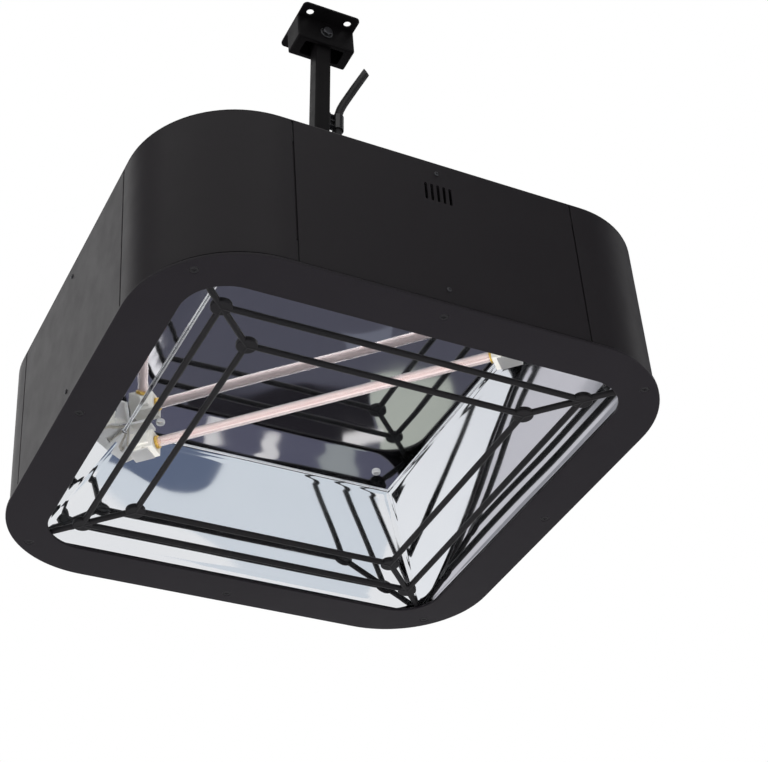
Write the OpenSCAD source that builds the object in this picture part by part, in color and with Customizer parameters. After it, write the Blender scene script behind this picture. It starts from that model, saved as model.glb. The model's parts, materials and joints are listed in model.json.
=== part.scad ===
// Hanging infrared patio heater: a square head with one quartz lamp, on a pole with a hinge at each end.
// Origin: centre of the ceiling plate's upper face. +Z points up to the ceiling, -Y is the vented front.

/* [Head shell] */
// Width across the side panels
head_w = 500; // [480:1:540]
// Height from the bezel's lower face to the top of the cover
head_h = 168; // [160:1:190]
// Outer radius of the rounded corners
corner_r = 100; // [85:1:105]
// Thickness of the painted steel sheet
sheet_t = 1.5; // [1:0.1:2]
// Width of a corner piece's flat wing, from its rounded corner to the seam
corner_wing = 11.5; // [8:0.5:20]
// Width of the open seam between a panel and a corner piece
seam_gap = 1.6; // [0.8:0.1:2.4]
// Height of the shadow gap between the bezel and the panels
shadow_gap = 3; // [2:0.1:5]
// Clearance between pieces that slide into each other
fit_gap = 0.1; // [0.05:0.01:0.3]

/* [Bezel and grille] */
// How far the bezel stands out past the panels
bezel_lip = 3; // [1:0.5:6]
// Thickness of the bezel
bezel_t = 3; // [2:0.1:4]
// Width of the bezel's band, from the panels' outer face in to its opening
bezel_band = 41; // [36:0.5:50]
// Corner radius of that opening
opening_r = 42; // [30:1:60]
// Distance of the bezel's corner screws in from the head's rounded corner
corner_screw_inset = 8.8; // [8:0.2:12]
// Distance of the bezel's side screws in from the panels' outer face
side_screw_inset = 13; // [10:0.5:16]
// Diameter of the grille rods
rod_d = 6; // [4:0.5:8]
// Distance of the outer square of grille rods in from the bezel's opening
grille_margin = 34.4; // [28:0.2:42]
// Distance between the outer and the inner square of grille rods
grille_step = 39.1; // [34:0.1:46]
// Diameter of the discs where the rods meet
hub_d = 19; // [16:0.5:24]

/* [Reflector] */
// Room for the electrics, from the reflector's top plate to the top of the cover
room_above = 65; // [60:1:75]
// Distance of the reflector's top plate's edge beyond the lamp's ends, along the diagonal
top_plate_margin = 11.5; // [10:0.5:16]
// Thickness of the mirror sheet
mirror_t = 0.8; // [0.6:0.1:1.2]
// Distance of the reflector's screws in from the edges of its top plate
reflector_screw_inset = 28; // [26:0.5:32]
// Gap between the reflector and the heat shield above it
shield_gap = 20; // [16:1:24]
// How far the heat shield reaches past the reflector's top plate
shield_margin = 34; // [20:1:50]

/* [Lamp] */
// Distance of the lamp's axis below the reflector's top plate
lamp_drop = 23; // [20:0.5:27]
// Diameter of the quartz tube
lamp_d = 10; // [8:0.5:12]
// Length of the quartz tube between its collars
lamp_len = 336; // [320:1:340]
// Length of one ceramic end cap along the lamp
cap_len = 24; // [20:1:26]
// Width of one ceramic end cap
cap_w = 20; // [16:1:22]

/* [Pole and ceiling bracket] */
// Distance between the pole's two hinge bolts
pole_span = 399; // [300:1:700]
// Angle at which the pole stands between the level plate and the level head
pole_lean = 3.4; // [0:0.1:6]
// Pole width along X
pole_w = 18; // [16:0.5:20]
// Pole thickness along Y
pole_d = 18; // [17:0.5:20]
// Wall thickness of the pole
pole_wall = 1.5; // [1:0.1:2]
// Width of the square ceiling plate
plate_w = 69; // [67:1:80]
// Thickness of the ceiling plate
plate_t = 2.5; // [2:0.1:4]
// Spacing of the four anchor holes
anchor_pitch = 46; // [45:0.5:50]
// Diameter of the anchor holes
anchor_d = 8.5; // [6:0.5:10]
// Depth of the bracket box below the plate
box_h = 33; // [32:1:38]
// Outer width of the bracket box along Y
box_d = 30.5; // [29.5:0.5:33]
// Sheet thickness of the bracket box
box_t = 2; // [1.5:0.1:2.5]
// Distance of the upper hinge bolt below the plate
pivot_below_plate = 16; // [15:0.5:18]
// Height of the lower hinge bolt above the top cover
tilt_above_cover = 26; // [22:0.5:34]
// Diameter of both hinge bolts
bolt_d = 6; // [5:0.5:6]
// How far the pole can swing each way in the slot of the bracket box
pole_swing = 36; // [25:1:36]

/* [Supply cord] */
// Diameter of the supply cord
cord_d = 9.5; // [8:0.1:10]
// Distance of the cord gland from the head's middle
gland_x = 34; // [33:0.5:60]
// Height of the gland above the top cover
gland_h = 24; // [20:1:30]
// Distance of the cord clip below the upper hinge bolt, along the pole
clip_below_pivot = 124; // [122:1:140]
// Distance between the pole's axis and the cord's axis at the clip
clip_reach = 22; // [20:0.5:26]

/* [Hidden] */
$fn = 48;

paint = "#39373a";
dark_paint = "#2b292c";
black_steel = "#1c1b1d";
steel = "#b9bcc0";
mirror = "#d5dde4";
cord_black = "#1b1b1c";

// Place of the head and of the pole's two hinges
pivot_z = -plate_t - pivot_below_plate;
head_x = -pole_span * sin(pole_lean);
head_z = pivot_z - pole_span * cos(pole_lean) - tilt_above_cover - head_h;
tilt_z = head_h + tilt_above_cover;

// Levels inside the head, above the bezel's lower face
panel_z = bezel_t + shadow_gap;
cover_z = head_h - sheet_t;
opening_w = head_w - 2 * bezel_band;
panel_w = head_w - 2 * corner_r - 2 * corner_wing;
reflector_top_z = head_h - room_above;
lamp_z = reflector_top_z - lamp_drop;
reflector_rim_z = bezel_t + sheet_t;
reflector_rim_at = opening_w / 2 + 0.5;
shield_z = reflector_top_z + mirror_t + shield_gap;
shield_t = 1;
shield_top = shield_z + shield_t;
rod_z = bezel_t + rod_d / 2;
weld_gap = 0.05;
grille_outer_at = opening_w / 2 - grille_margin;
grille_inner_at = grille_outer_at - grille_step;

// The two frames that the shell is screwed to
frame_w = head_w - 2 * sheet_t - 2 * fit_gap;
frame_r = corner_r - sheet_t - fit_gap;
base_leg_h = 27;
base_step = 11.4;
base_open_w = opening_w + 2 * base_step;
base_open_r = opening_r + base_step;
rim_overlap = 8;
top_leg_h = 24;
top_flange = 22;
low_screw_z = 20;
high_screw_z = head_h - 14;
panel_screw_r = 1.5;
panel_screw_head_r = 2.3;
panel_screw_head_h = 1.2;
seam_strip = 11;

// Vent slots in the front panel
vent_count = 5;
vent_pitch = 6;
vent_w = 2.8;
vent_h = 20;
vent_z = head_h - 37.5;

// Screws in the head
bezel_screw_r = 2.5;
bezel_head_r = 4.2;
bezel_recess_r = 4.7;
bezel_recess = 1.5;
bezel_screw_len = 9;
bezel_screw_side = head_w / 2 - side_screw_inset;
bezel_screw_corner = head_w / 2 - corner_r + (corner_r - corner_screw_inset) / sqrt(2);
top_screw_side = head_w / 2 - 12;
top_screw_along = head_w / 2 - corner_r - 30;
top_screw_r = 2;
top_head_r = 4;
top_head_h = 2.2;
mirror_screw_r = 2;
mirror_head_r = 4.5;
mirror_head_h = 2.5;
nut_h = 3;

// Hinge hardware
bolt_r = bolt_d / 2;
run_gap = 0.06;
sleeve_wall = 1.9;
sleeve_r = bolt_r + run_gap + sleeve_wall;
pole_end = 8;
box_gap = box_d / 2 - box_t;
spacer_r = 7;
washer_t = 1.2;
washer_r = 7.5;
hex_r = 6.2;
hex_h = 4;
bolt_nut_h = 5;
bolt_tail = 2.5;
slot_len = 2 * ((box_h - pivot_below_plate) * tan(pole_swing) + pole_w / 2 / cos(pole_swing) + 0.4);
slot_w = pole_d + 2;
yoke_t = 3;
yoke_base_x = 42;
yoke_base_y = 76;
ear_r = 13;
friction_t = 0.95;
ear_in = pole_d / 2 + 0.05 + friction_t;
yoke_bolt_x = 13;
yoke_bolt_y = 26;
yoke_bolt_r = 3;

// Gland and clip
gland_thread_r = 8;
gland_hex_r = 11;
gland_hex_h = 6;
gland_dome_r = 9.5;
gland_thread_below = 9;
gland_nut_h = 4;
cord_r = cord_d / 2;
// Inside the head the cord is stripped down to its cores
inner_cord_r = cord_r - 1.25;
clip_len = 22;
clip_ring_r = cord_r + 1.8;
clip_pad_t = 2;
clip_screw_r = 1.2;
clip_screw_z = 4 - clip_below_pivot;

// Lamp and its holders, measured along the lamp's diagonal from the head's middle
collar_len = 3;
cap_at = lamp_len / 2 + collar_len;
cap_end = cap_at + cap_len;
bracket_t = 1.5;
bracket_w = 18;
lead_r = 1.3;
lead_hole_r = 3;
lead_at = cap_end + 6;
shelf_z = lamp_z - cap_w / 2 - bracket_t;
reflector_top_at = (cap_end + top_plate_margin) / sqrt(2);
reflector_screw_at = reflector_top_at - reflector_screw_inset;
shield_w = 2 * (reflector_top_at + shield_margin);

// Pieces on the heat shield
block_x = gland_x;
block_y = -62;
block_w = 20;
block_len = 44;
block_h = 20;
board_x = -90;
board_y = -60;
board_w = 100;
board_len = 80;
board_t = 1.6;
standoff_h = 6;
standoff_inset = 6;
relay = [30, 26, 18];
relay_at = [-35, -20];
transformer = [20, 16, 16];
transformer_at = [8, -24];
capacitor_r = 8;
capacitor_h = 20;
capacitor_at = [16, 14];
receiver_w = vent_count * vent_pitch + 8;
receiver_h = vent_h + 3;
receiver_d = 9;
receiver_wall = 1.2;
shield_hole_r = 5;
right_hole = [block_x + 28, block_y + 12];
left_hole = [block_x - 30, block_y - 10];

// Route of the supply cord, as x and z in the row's frame, from the gland up to the clip
RISER = [
    [10.3, -418.7], [10.3, -401], [10.3, -383], [10.3, -365], [10.3, -347], [10.3, -329],
    [10.3, -311], [10.3, -293], [10.4, -275], [10.6, -257], [10.8, -239], [11.2, -221],
    [11.8, -198], [12.4, -177.3], [13.5, -160.5]
];
// Route of its tail, through the clip to the free end
TAIL = [
    [13.5, -160.5], [14.6, -143.7], [15.4, -132.6], [17.9, -122.4], [21.3, -113.4], [25.6, -104],
    [30.3, -94.4], [35.2, -84.4], [40.2, -74.3], [45.3, -64.2], [50.4, -54.1], [57, -41]
];
// Routes inside the head, from its middle and the bezel's lower face
INNER_CORD = [
    [gland_x, 0, head_h + gland_h], [gland_x, 0, head_h + 6], [gland_x, 0, head_h - 12],
    [gland_x, -1.5, head_h - 19.3], [gland_x, -5.6, head_h - 25.4], [gland_x, -11.7, head_h - 29.6],
    [gland_x, -19, head_h - 31], [gland_x, block_y + block_len / 2 + 0.2, head_h - 31]
];

// A point below the lamp's diagonal line, or on the other end of it
function by_lamp(d, z, end) = [end * d / sqrt(2), -end * d / sqrt(2), z];

// From a lamp cap up through the reflector's top plate
function lead_start(end) = [
    by_lamp(cap_end + 0.4, lamp_z, end), by_lamp(cap_end + 3.6, lamp_z + 0.6, end),
    by_lamp(cap_end + 5.5, lamp_z + 2.4, end), by_lamp(lead_at, lamp_z + 6, end),
    by_lamp(lead_at, (lamp_z + 6 + reflector_top_z + 3) / 2, end), by_lamp(lead_at, reflector_top_z + 3, end),
    by_lamp(lead_at, reflector_top_z + 8, end) + [-0.7 * end, 1.3 * end, 0],
    by_lamp(lead_at, reflector_top_z + 10.6, end) + [-3.1 * end, 5.1 * end, 0],
    by_lamp(lead_at, reflector_top_z + 11, end) + [-8.1 * end, 16.1 * end, 0],
    by_lamp(lead_at, reflector_top_z + 11, end) + [-14.1 * end, 30.1 * end, 0]
];

// From under a hole in the heat shield up into the side of the terminal block
function lead_finish(hole, side) = [
    [hole[0] + 3 * side, hole[1] - 1 * side, reflector_top_z + 12], [hole[0], hole[1], shield_top - 5.8],
    [hole[0], hole[1], shield_top + 2.2], [hole[0] - 1.5 * side, hole[1], shield_top + 7.2],
    [hole[0] - 6 * side, hole[1], shield_top + 9.8], [hole[0] - 12 * side, hole[1], shield_top + 10.2],
    [block_x + side * (block_w / 2 + 0.2), hole[1], shield_top + 10.2]
];

LEAD_RIGHT = concat(
    lead_start(1),
    [[100, -80, reflector_top_z + 11], [right_hole[0] + 10, right_hole[1] - 6, reflector_top_z + 11]],
    lead_finish(right_hole, 1)
);
LEAD_LEFT = concat(
    lead_start(-1),
    [[-60, 30, reflector_top_z + 11], [left_hole[0] - 10, left_hole[1] + 18, reflector_top_z + 11]],
    lead_finish(left_hole, -1)
);

// Frames that the pieces are drawn in

module on_head() {
    translate([head_x, 0, head_z]) children();
}

module on_pole() {
    translate([0, 0, pivot_z]) rotate([0, pole_lean, 0]) children();
}

module on_four_sides() {
    for (turn = [0 : 90 : 270]) rotate([0, 0, turn]) children();
}

// Both ends of the lamp's diagonal: children are drawn along +X
module on_lamp_ends() {
    for (turn = [-45, 135]) rotate([0, 0, turn]) children();
}

// Shapes used more than once

module rounded_plate(w, r, t) {
    linear_extrude(t) {
        square([w - 2 * r, w], center = true);
        square([w, w - 2 * r], center = true);
        for (x = [-1, 1], y = [-1, 1]) translate([x * (w / 2 - r), y * (w / 2 - r)]) circle(r, $fn = 96);
    }
}

module rounded_ring(w, r, wall, h) {
    difference() {
        rounded_plate(w, r, h);
        translate([0, 0, -1]) rounded_plate(w - 2 * wall, r - wall, h + 2);
    }
}

module along_y(r, y0, y1, sides = 48) {
    translate([0, y0, 0]) rotate([-90, 0, 0]) cylinder(r = r, h = y1 - y0, $fn = sides);
}

module washer(r, hole_r, t) {
    difference() {
        cylinder(r = r, h = t);
        translate([0, 0, -1]) cylinder(r = hole_r, h = t + 2);
    }
}

function unit(v) = v / norm(v);

function route_tangent(p, i) =
    unit(unit(p[min(i + 1, len(p) - 1)] - p[min(i, len(p) - 2)]) + unit(p[max(i, 1)] - p[max(i - 1, 0)]));

function ring_at(p, i, r, sides) =
    let (t = route_tangent(p, i), side = unit(cross(t, [0.31, 0.9, 0.17])), up = cross(side, t))
    [for (k = [0 : sides - 1]) p[i] + r * cos(360 * k / sides) * side + r * sin(360 * k / sides) * up];

// A round tube swept along its route's own points, as one closed solid
module tube(p, r, sides = 8) {
    last = len(p) - 1;
    points = [for (i = [0 : last]) each ring_at(p, i, r, sides)];
    walls = [
        for (i = [0 : last - 1], k = [0 : sides - 1])
        let (a = i * sides + k, b = i * sides + (k + 1) % sides)
        each [[a, a + sides, b + sides], [a, b + sides, b]]
    ];
    start = [for (k = [0 : sides - 1]) k];
    finish = [for (k = [sides - 1 : -1 : 0]) last * sides + k];
    polyhedron(points, concat([start], walls, [finish]));
}

function in_frame(route) = [for (p = route) [p[0], 0, p[1]]];

// Ceiling bracket

module ceiling_plate() {
    color(paint) difference() {
        translate([0, 0, -plate_t]) rounded_plate(plate_w, 5, plate_t);
        for (x = [-1, 1], y = [-1, 1]) translate([x * anchor_pitch / 2, y * anchor_pitch / 2, -plate_t - 1])
            cylinder(d = anchor_d, h = plate_t + 2);
    }
}

module bracket_box() {
    color(paint) difference() {
        translate([-plate_w / 2, -box_d / 2, -plate_t - box_h]) cube([plate_w, box_d, box_h]);
        translate([-plate_w / 2 + box_t, -box_gap, -plate_t - box_h + box_t])
            cube([plate_w - 2 * box_t, 2 * box_gap, box_h]);
        translate([-slot_len / 2, -slot_w / 2, -plate_t - box_h - 1]) cube([slot_len, slot_w, box_t + 2]);
        translate([0, 0, pivot_z]) along_y(bolt_r + fit_gap, -box_d, box_d);
    }
}

// A hex bolt along Y whose head bears at y = -seat and whose nut bears at y = seat
module hinge_bolt(seat) {
    color(black_steel) {
        along_y(hex_r, -seat - hex_h, -seat, 6);
        along_y(bolt_r, -seat, seat + bolt_nut_h + bolt_tail);
    }
}

module hinge_nut(seat) {
    color(black_steel) difference() {
        along_y(hex_r, seat, seat + bolt_nut_h, 6);
        along_y(bolt_r + 0.05, seat - 1, seat + bolt_nut_h + 1);
    }
}

// Two rings on a hinge bolt, one on each side, from y = y0 to y = y1
module bolt_rings(r, y0, y1) {
    for (side = [0, 180]) rotate([0, 0, side]) difference() {
        along_y(r, y0, y1);
        along_y(bolt_r + fit_gap, y0 - 1, y1 + 1);
    }
}

module pivot_bolt() {
    translate([0, 0, pivot_z]) hinge_bolt(box_d / 2 + washer_t);
}

module pivot_nut() {
    translate([0, 0, pivot_z]) hinge_nut(box_d / 2 + washer_t);
}

module pivot_washers() {
    color(steel) translate([0, 0, pivot_z]) bolt_rings(washer_r, box_d / 2, box_d / 2 + washer_t);
}

module pivot_spacers() {
    color("#202022") translate([0, 0, pivot_z]) bolt_rings(spacer_r, pole_d / 2 + 0.05, box_gap);
}

// Pole

module pole() {
    length = pole_span + 2 * pole_end;
    color(paint) on_pole() difference() {
        translate([-pole_w / 2, -pole_d / 2, pole_end - length]) cube([pole_w, pole_d, length]);
        translate([-pole_w / 2 + pole_wall, -pole_d / 2 + pole_wall, pole_end - length - 1])
            cube([pole_w - 2 * pole_wall, pole_d - 2 * pole_wall, length + 2]);
        for (z = [0, -pole_span]) translate([0, 0, z]) along_y(sleeve_r + 0.02, -pole_d, pole_d);
        translate([0, 0, clip_screw_z]) rotate([0, 90, 0]) cylinder(r = clip_screw_r + 0.05, h = pole_w);
    }
}

// A steel sleeve through the pole, which turns on the hinge bolt
module pole_sleeve(z) {
    color(steel) on_pole() translate([0, 0, z]) difference() {
        along_y(sleeve_r, -pole_d / 2, pole_d / 2);
        along_y(bolt_r + run_gap, -pole_d, pole_d);
    }
}

module cord_clip() {
    rib_len = clip_reach - pole_w / 2 - cord_r - 1;
    color(black_steel) on_pole() translate([0, 0, -clip_below_pivot]) difference() {
        union() {
            translate([pole_w / 2, -5, -clip_len / 2 + 1]) cube([clip_pad_t, 10, clip_len - 2]);
            for (z = [-8, 0, 8]) translate([pole_w / 2, -3.5, z - 1]) cube([rib_len, 7, 2]);
            translate([clip_reach, 0, -clip_len / 2]) cylinder(r = clip_ring_r, h = clip_len);
        }
        translate([clip_reach, 0, -clip_len]) cylinder(r = cord_r + 0.35, h = 2 * clip_len);
        translate([pole_w / 2 - 1, 0, clip_screw_z + clip_below_pivot]) rotate([0, 90, 0])
            cylinder(r = clip_screw_r + 0.05, h = clip_pad_t + 2);
    }
}

module clip_screw() {
    color(steel) on_pole() translate([pole_w / 2, 0, clip_screw_z]) rotate([0, 90, 0]) {
        translate([0, 0, clip_pad_t]) cylinder(r = 2.2, h = 1.2);
        translate([0, 0, -4]) cylinder(r = clip_screw_r, h = clip_pad_t + 4);
    }
}

module cord_riser() {
    color(cord_black) tube(in_frame(RISER), cord_r, 12);
}

module cord_tail() {
    color(cord_black) tube(in_frame(TAIL), cord_r, 12);
}

// Yoke on the head, and its tilt hinge

module yoke() {
    color(paint) on_head() difference() {
        union() {
            translate([-yoke_base_x / 2, -yoke_base_y / 2, head_h]) cube([yoke_base_x, yoke_base_y, yoke_t]);
            for (side = [0, 180]) rotate([0, 0, side]) {
                translate([-ear_r, ear_in, head_h]) cube([2 * ear_r, yoke_t, tilt_above_cover]);
                translate([0, 0, tilt_z]) along_y(ear_r, ear_in, ear_in + yoke_t);
            }
        }
        translate([0, 0, tilt_z]) along_y(bolt_r + fit_gap, -yoke_base_y, yoke_base_y);
        for (x = [-1, 1], y = [-1, 1]) translate([x * yoke_bolt_x, y * yoke_bolt_y, head_h - 1])
            cylinder(r = yoke_bolt_r + fit_gap, h = yoke_t + 2);
    }
}

module yoke_bolts() {
    color(steel) on_head() for (x = [-1, 1], y = [-1, 1]) translate([x * yoke_bolt_x, y * yoke_bolt_y, 0]) {
        translate([0, 0, head_h + yoke_t]) cylinder(r = 5.7, h = hex_h, $fn = 6);
        translate([0, 0, cover_z - 4]) cylinder(r = yoke_bolt_r, h = 4 + sheet_t + yoke_t);
        translate([0, 0, cover_z - 4]) cylinder(r = 5.7, h = 4, $fn = 6);
    }
}

module tilt_bolt() {
    on_head() translate([0, 0, tilt_z]) hinge_bolt(ear_in + yoke_t);
}

module tilt_nut() {
    on_head() translate([0, 0, tilt_z]) hinge_nut(ear_in + yoke_t);
}

module tilt_washers() {
    color("#202022") on_head() translate([0, 0, tilt_z]) bolt_rings(ear_r - 4, ear_in - friction_t, ear_in);
}

// Cord gland in the top cover

module cord_gland() {
    color(cord_black) on_head() translate([gland_x, 0, 0]) difference() {
        union() {
            translate([0, 0, cover_z - gland_thread_below])
                cylinder(r = gland_thread_r, h = gland_thread_below + sheet_t);
            translate([0, 0, head_h]) cylinder(r = gland_hex_r, h = gland_hex_h, $fn = 6);
            translate([0, 0, head_h + gland_hex_h]) cylinder(r = gland_dome_r, h = gland_h - gland_hex_h - 5);
            translate([0, 0, head_h + gland_h - 5]) cylinder(r1 = gland_dome_r, r2 = cord_r + 1.5, h = 5);
        }
        translate([0, 0, cover_z - 2 * gland_thread_below])
            cylinder(r = cord_r + 0.2, h = gland_h + 3 * gland_thread_below);
    }
}

module gland_nut() {
    color(cord_black) on_head() translate([gland_x, 0, cover_z - gland_nut_h]) difference() {
        cylinder(r = gland_hex_r, h = gland_nut_h, $fn = 6);
        translate([0, 0, -1]) cylinder(r = gland_thread_r + 0.05, h = gland_nut_h + 2);
    }
}

// Shell of the head

module top_cover() {
    color(paint) on_head() difference() {
        translate([0, 0, cover_z]) rounded_plate(head_w, corner_r, sheet_t);
        for (x = [-1, 1], y = [-1, 1]) translate([x * yoke_bolt_x, y * yoke_bolt_y, cover_z - 1])
            cylinder(r = yoke_bolt_r + fit_gap, h = sheet_t + 2);
        translate([gland_x, 0, cover_z - 1]) cylinder(r = gland_thread_r + fit_gap, h = sheet_t + 2);
        at_top_screws() translate([0, 0, cover_z - 1]) cylinder(r = top_screw_r + fit_gap, h = sheet_t + 2);
    }
}

module at_top_screws() {
    on_four_sides() for (x = [-1, 1]) translate([x * top_screw_along, -top_screw_side, 0]) children();
}

module top_screws() {
    color(black_steel) on_head() at_top_screws() {
        translate([0, 0, head_h]) cylinder(r = top_head_r, h = top_head_h);
        translate([0, 0, cover_z - sheet_t - 2]) cylinder(r = top_screw_r, h = 2 * sheet_t + 2);
    }
}

module at_panel_screws() {
    on_four_sides() for (z = [low_screw_z, high_screw_z]) translate([0, -head_w / 2, z]) children();
}

module top_frame() {
    color(dark_paint) on_head() difference() {
        union() {
            translate([0, 0, cover_z - top_leg_h]) rounded_ring(frame_w, frame_r, sheet_t, top_leg_h);
            translate([0, 0, cover_z - sheet_t]) rounded_ring(frame_w, frame_r, top_flange, sheet_t);
        }
        at_panel_screws() along_y(panel_screw_r + fit_gap, -1, 8);
        at_top_screws() translate([0, 0, cover_z - 5]) cylinder(r = top_screw_r + fit_gap, h = 8);
    }
}

module base_frame() {
    color(dark_paint) on_head() difference() {
        union() {
            translate([0, 0, bezel_t]) rounded_ring(frame_w, frame_r, sheet_t, base_leg_h);
            translate([0, 0, bezel_t]) difference() {
                rounded_plate(frame_w, frame_r, sheet_t);
                translate([0, 0, -1]) rounded_plate(base_open_w, base_open_r, sheet_t + 2);
            }
        }
        at_panel_screws() along_y(panel_screw_r + fit_gap, -1, 8);
        at_bezel_screws() translate([0, 0, bezel_t - 1])
            cylinder(r = bezel_screw_r + fit_gap, h = sheet_t + 2);
    }
}

module flat_panel(turn, vents = false) {
    color(paint) on_head() rotate([0, 0, turn]) difference() {
        translate([-panel_w / 2 + seam_gap / 2, -head_w / 2, panel_z])
            cube([panel_w - seam_gap, sheet_t, cover_z - panel_z]);
        for (z = [low_screw_z, high_screw_z]) translate([0, -head_w / 2, z])
            along_y(panel_screw_r + fit_gap, -1, 8);
        if (vents) for (k = [0 : vent_count - 1])
            translate([(k - (vent_count - 1) / 2) * vent_pitch, -head_w / 2, vent_z]) vent_slot();
    }
}

module vent_slot() {
    translate([-vent_w / 2, -1, -vent_h / 2 + vent_w / 2]) cube([vent_w, sheet_t + 2, vent_h - vent_w]);
    for (z = [-1, 1]) translate([0, 0, z * (vent_h - vent_w) / 2]) along_y(vent_w / 2, -1, sheet_t + 1);
}

// A corner piece: a quarter of a tube, a short wing to each seam and a strip behind each panel's edge
module corner_piece(turn) {
    wing = head_w / 2 - corner_r;
    strip_z = bezel_t + base_leg_h + 1;
    strip_h = cover_z - top_leg_h - 1 - strip_z;
    height = cover_z - panel_z;
    color(paint) on_head() rotate([0, 0, turn]) {
        translate([-wing, -wing, panel_z]) rotate_extrude(angle = 90, start = 180, $fn = 96)
            translate([corner_r - sheet_t, 0]) square([sheet_t, height]);
        for (flip = [0, 1]) mirror([flip, -flip, 0]) {
            translate([-wing, -head_w / 2, panel_z])
                cube([wing - panel_w / 2 - seam_gap / 2, sheet_t, height]);
            translate([-panel_w / 2 - seam_strip, -head_w / 2 + sheet_t, strip_z])
                cube([2 * seam_strip, sheet_t, strip_h]);
        }
    }
}

module panel_screws() {
    color(black_steel) on_head() at_panel_screws() {
        along_y(panel_screw_head_r, -panel_screw_head_h, 0);
        along_y(panel_screw_r, 0, 6);
    }
}

// Bezel and grille

module at_bezel_screws() {
    on_four_sides() {
        translate([-bezel_screw_corner, -bezel_screw_corner, 0]) children();
        translate([0, -bezel_screw_side, 0]) children();
    }
}

module bezel() {
    color(dark_paint) on_head() difference() {
        rounded_plate(head_w + 2 * bezel_lip, corner_r + bezel_lip, bezel_t);
        translate([0, 0, -1]) rounded_plate(opening_w, opening_r, bezel_t + 2);
        at_bezel_screws() {
            translate([0, 0, -1]) cylinder(r = bezel_recess_r, h = bezel_recess + 1);
            cylinder(r = bezel_screw_r + fit_gap, h = bezel_t + 1);
        }
    }
}

module bezel_screws() {
    color(black_steel) on_head() at_bezel_screws() {
        translate([0, 0, 0.3]) cylinder(r = bezel_head_r, h = bezel_recess - 0.3);
        translate([0, 0, bezel_recess]) cylinder(r = bezel_screw_r, h = bezel_screw_len - bezel_recess);
    }
}

module grille_rod(x0, x1) {
    translate([x0, 0, 0]) rotate([0, 90, 0]) cylinder(d = rod_d, h = x1 - x0, $fn = 24);
}

// Four rods that make a square between the hubs
module rod_square(at) {
    end = at - hub_d / 2 - weld_gap;
    color(black_steel) on_head() on_four_sides() translate([0, -at, rod_z]) grille_rod(-end, end);
}

module grille_spokes() {
    inner = grille_inner_at * sqrt(2);
    outer = grille_outer_at * sqrt(2);
    end = (base_open_w / 2 - base_open_r) * sqrt(2) + base_open_r - 0.8;
    color(black_steel) on_head() on_four_sides() rotate([0, 0, 45]) translate([0, 0, rod_z]) {
        grille_rod(inner + hub_d / 2 + weld_gap, outer - hub_d / 2 - weld_gap);
        grille_rod(outer + hub_d / 2 + weld_gap, end);
    }
}

module grille_hubs() {
    color(black_steel) on_head() on_four_sides() for (at = [grille_inner_at, grille_outer_at])
        translate([at, at, rod_z - rod_d * 0.4]) cylinder(d = hub_d, h = rod_d * 0.8);
}

// Reflector

module reflector_top() {
    color(mirror) on_head() translate([0, 0, reflector_top_z]) difference() {
        translate([-reflector_top_at - 2, -reflector_top_at - 2, 0])
            cube([2 * reflector_top_at + 4, 2 * reflector_top_at + 4, mirror_t]);
        at_mirror_screws() translate([0, 0, -1]) cylinder(r = mirror_screw_r + fit_gap, h = mirror_t + 2);
        on_lamp_ends() translate([lead_at, 0, -1]) cylinder(r = lead_hole_r, h = mirror_t + 2);
    }
}

module at_mirror_screws() {
    for (x = [-1, 1], y = [-1, 1]) translate([x * reflector_screw_at, y * reflector_screw_at, 0]) children();
}

// One sloping side of the reflector, with the flange that lies on the base frame
module reflector_side(turn) {
    rise = reflector_top_z - reflector_rim_z;
    run = reflector_rim_at - reflector_top_at;
    slope = atan2(rise, run);
    length = (rise - mirror_t * cos(slope)) / sin(slope);
    top_at = reflector_rim_at - length * cos(slope);
    color(mirror) on_head() rotate([0, 0, turn]) {
        translate([0, -reflector_rim_at, reflector_rim_z]) rotate([slope, 0, 0]) linear_extrude(mirror_t)
            polygon([
                [-reflector_rim_at, 0], [reflector_rim_at, 0],
                [top_at, length], [-top_at, length]
            ]);
        translate([-reflector_rim_at + 6, -base_open_w / 2 - rim_overlap, reflector_rim_z])
            cube([2 * reflector_rim_at - 12, base_open_w / 2 + rim_overlap - reflector_rim_at, mirror_t]);
    }
}

module reflector_screws() {
    color(steel) on_head() at_mirror_screws() {
        translate([0, 0, reflector_top_z - mirror_head_h]) cylinder(r = mirror_head_r, h = mirror_head_h);
        translate([0, 0, reflector_top_z])
            cylinder(r = mirror_screw_r, h = shield_top - reflector_top_z + nut_h + 1);
    }
}

module shield_spacers() {
    color(steel) on_head() at_mirror_screws() translate([0, 0, reflector_top_z + mirror_t])
        washer(5, mirror_screw_r + fit_gap, shield_gap);
}

module shield_nuts() {
    color(steel) on_head() at_mirror_screws() translate([0, 0, shield_top]) difference() {
        cylinder(r = 4.2, h = nut_h, $fn = 6);
        translate([0, 0, -1]) cylinder(r = mirror_screw_r + 0.05, h = nut_h + 2);
    }
}

module heat_shield() {
    color(steel) on_head() translate([0, 0, shield_z]) difference() {
        translate([-shield_w / 2, -shield_w / 2, 0]) cube([shield_w, shield_w, shield_t]);
        at_mirror_screws() translate([0, 0, -1]) cylinder(r = mirror_screw_r + fit_gap, h = shield_t + 2);
        for (p = [right_hole, left_hole]) translate([p[0], p[1], -1])
            cylinder(r = shield_hole_r, h = shield_t + 2);
    }
}

// Lamp

module lamp_tube() {
    color([0.95, 0.86, 0.84, 0.6]) on_head() translate([0, 0, lamp_z]) rotate([0, 0, -45]) rotate([0, 90, 0])
        difference() {
            cylinder(d = lamp_d, h = lamp_len, center = true);
            cylinder(d = lamp_d - 2, h = lamp_len + 2, center = true);
        }
}

module filament() {
    color("#9a6a55") on_head() translate([0, 0, lamp_z]) rotate([0, 0, -45]) rotate([0, 90, 0])
        cylinder(r = 1.2, h = lamp_len, center = true, $fn = 16);
}

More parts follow.
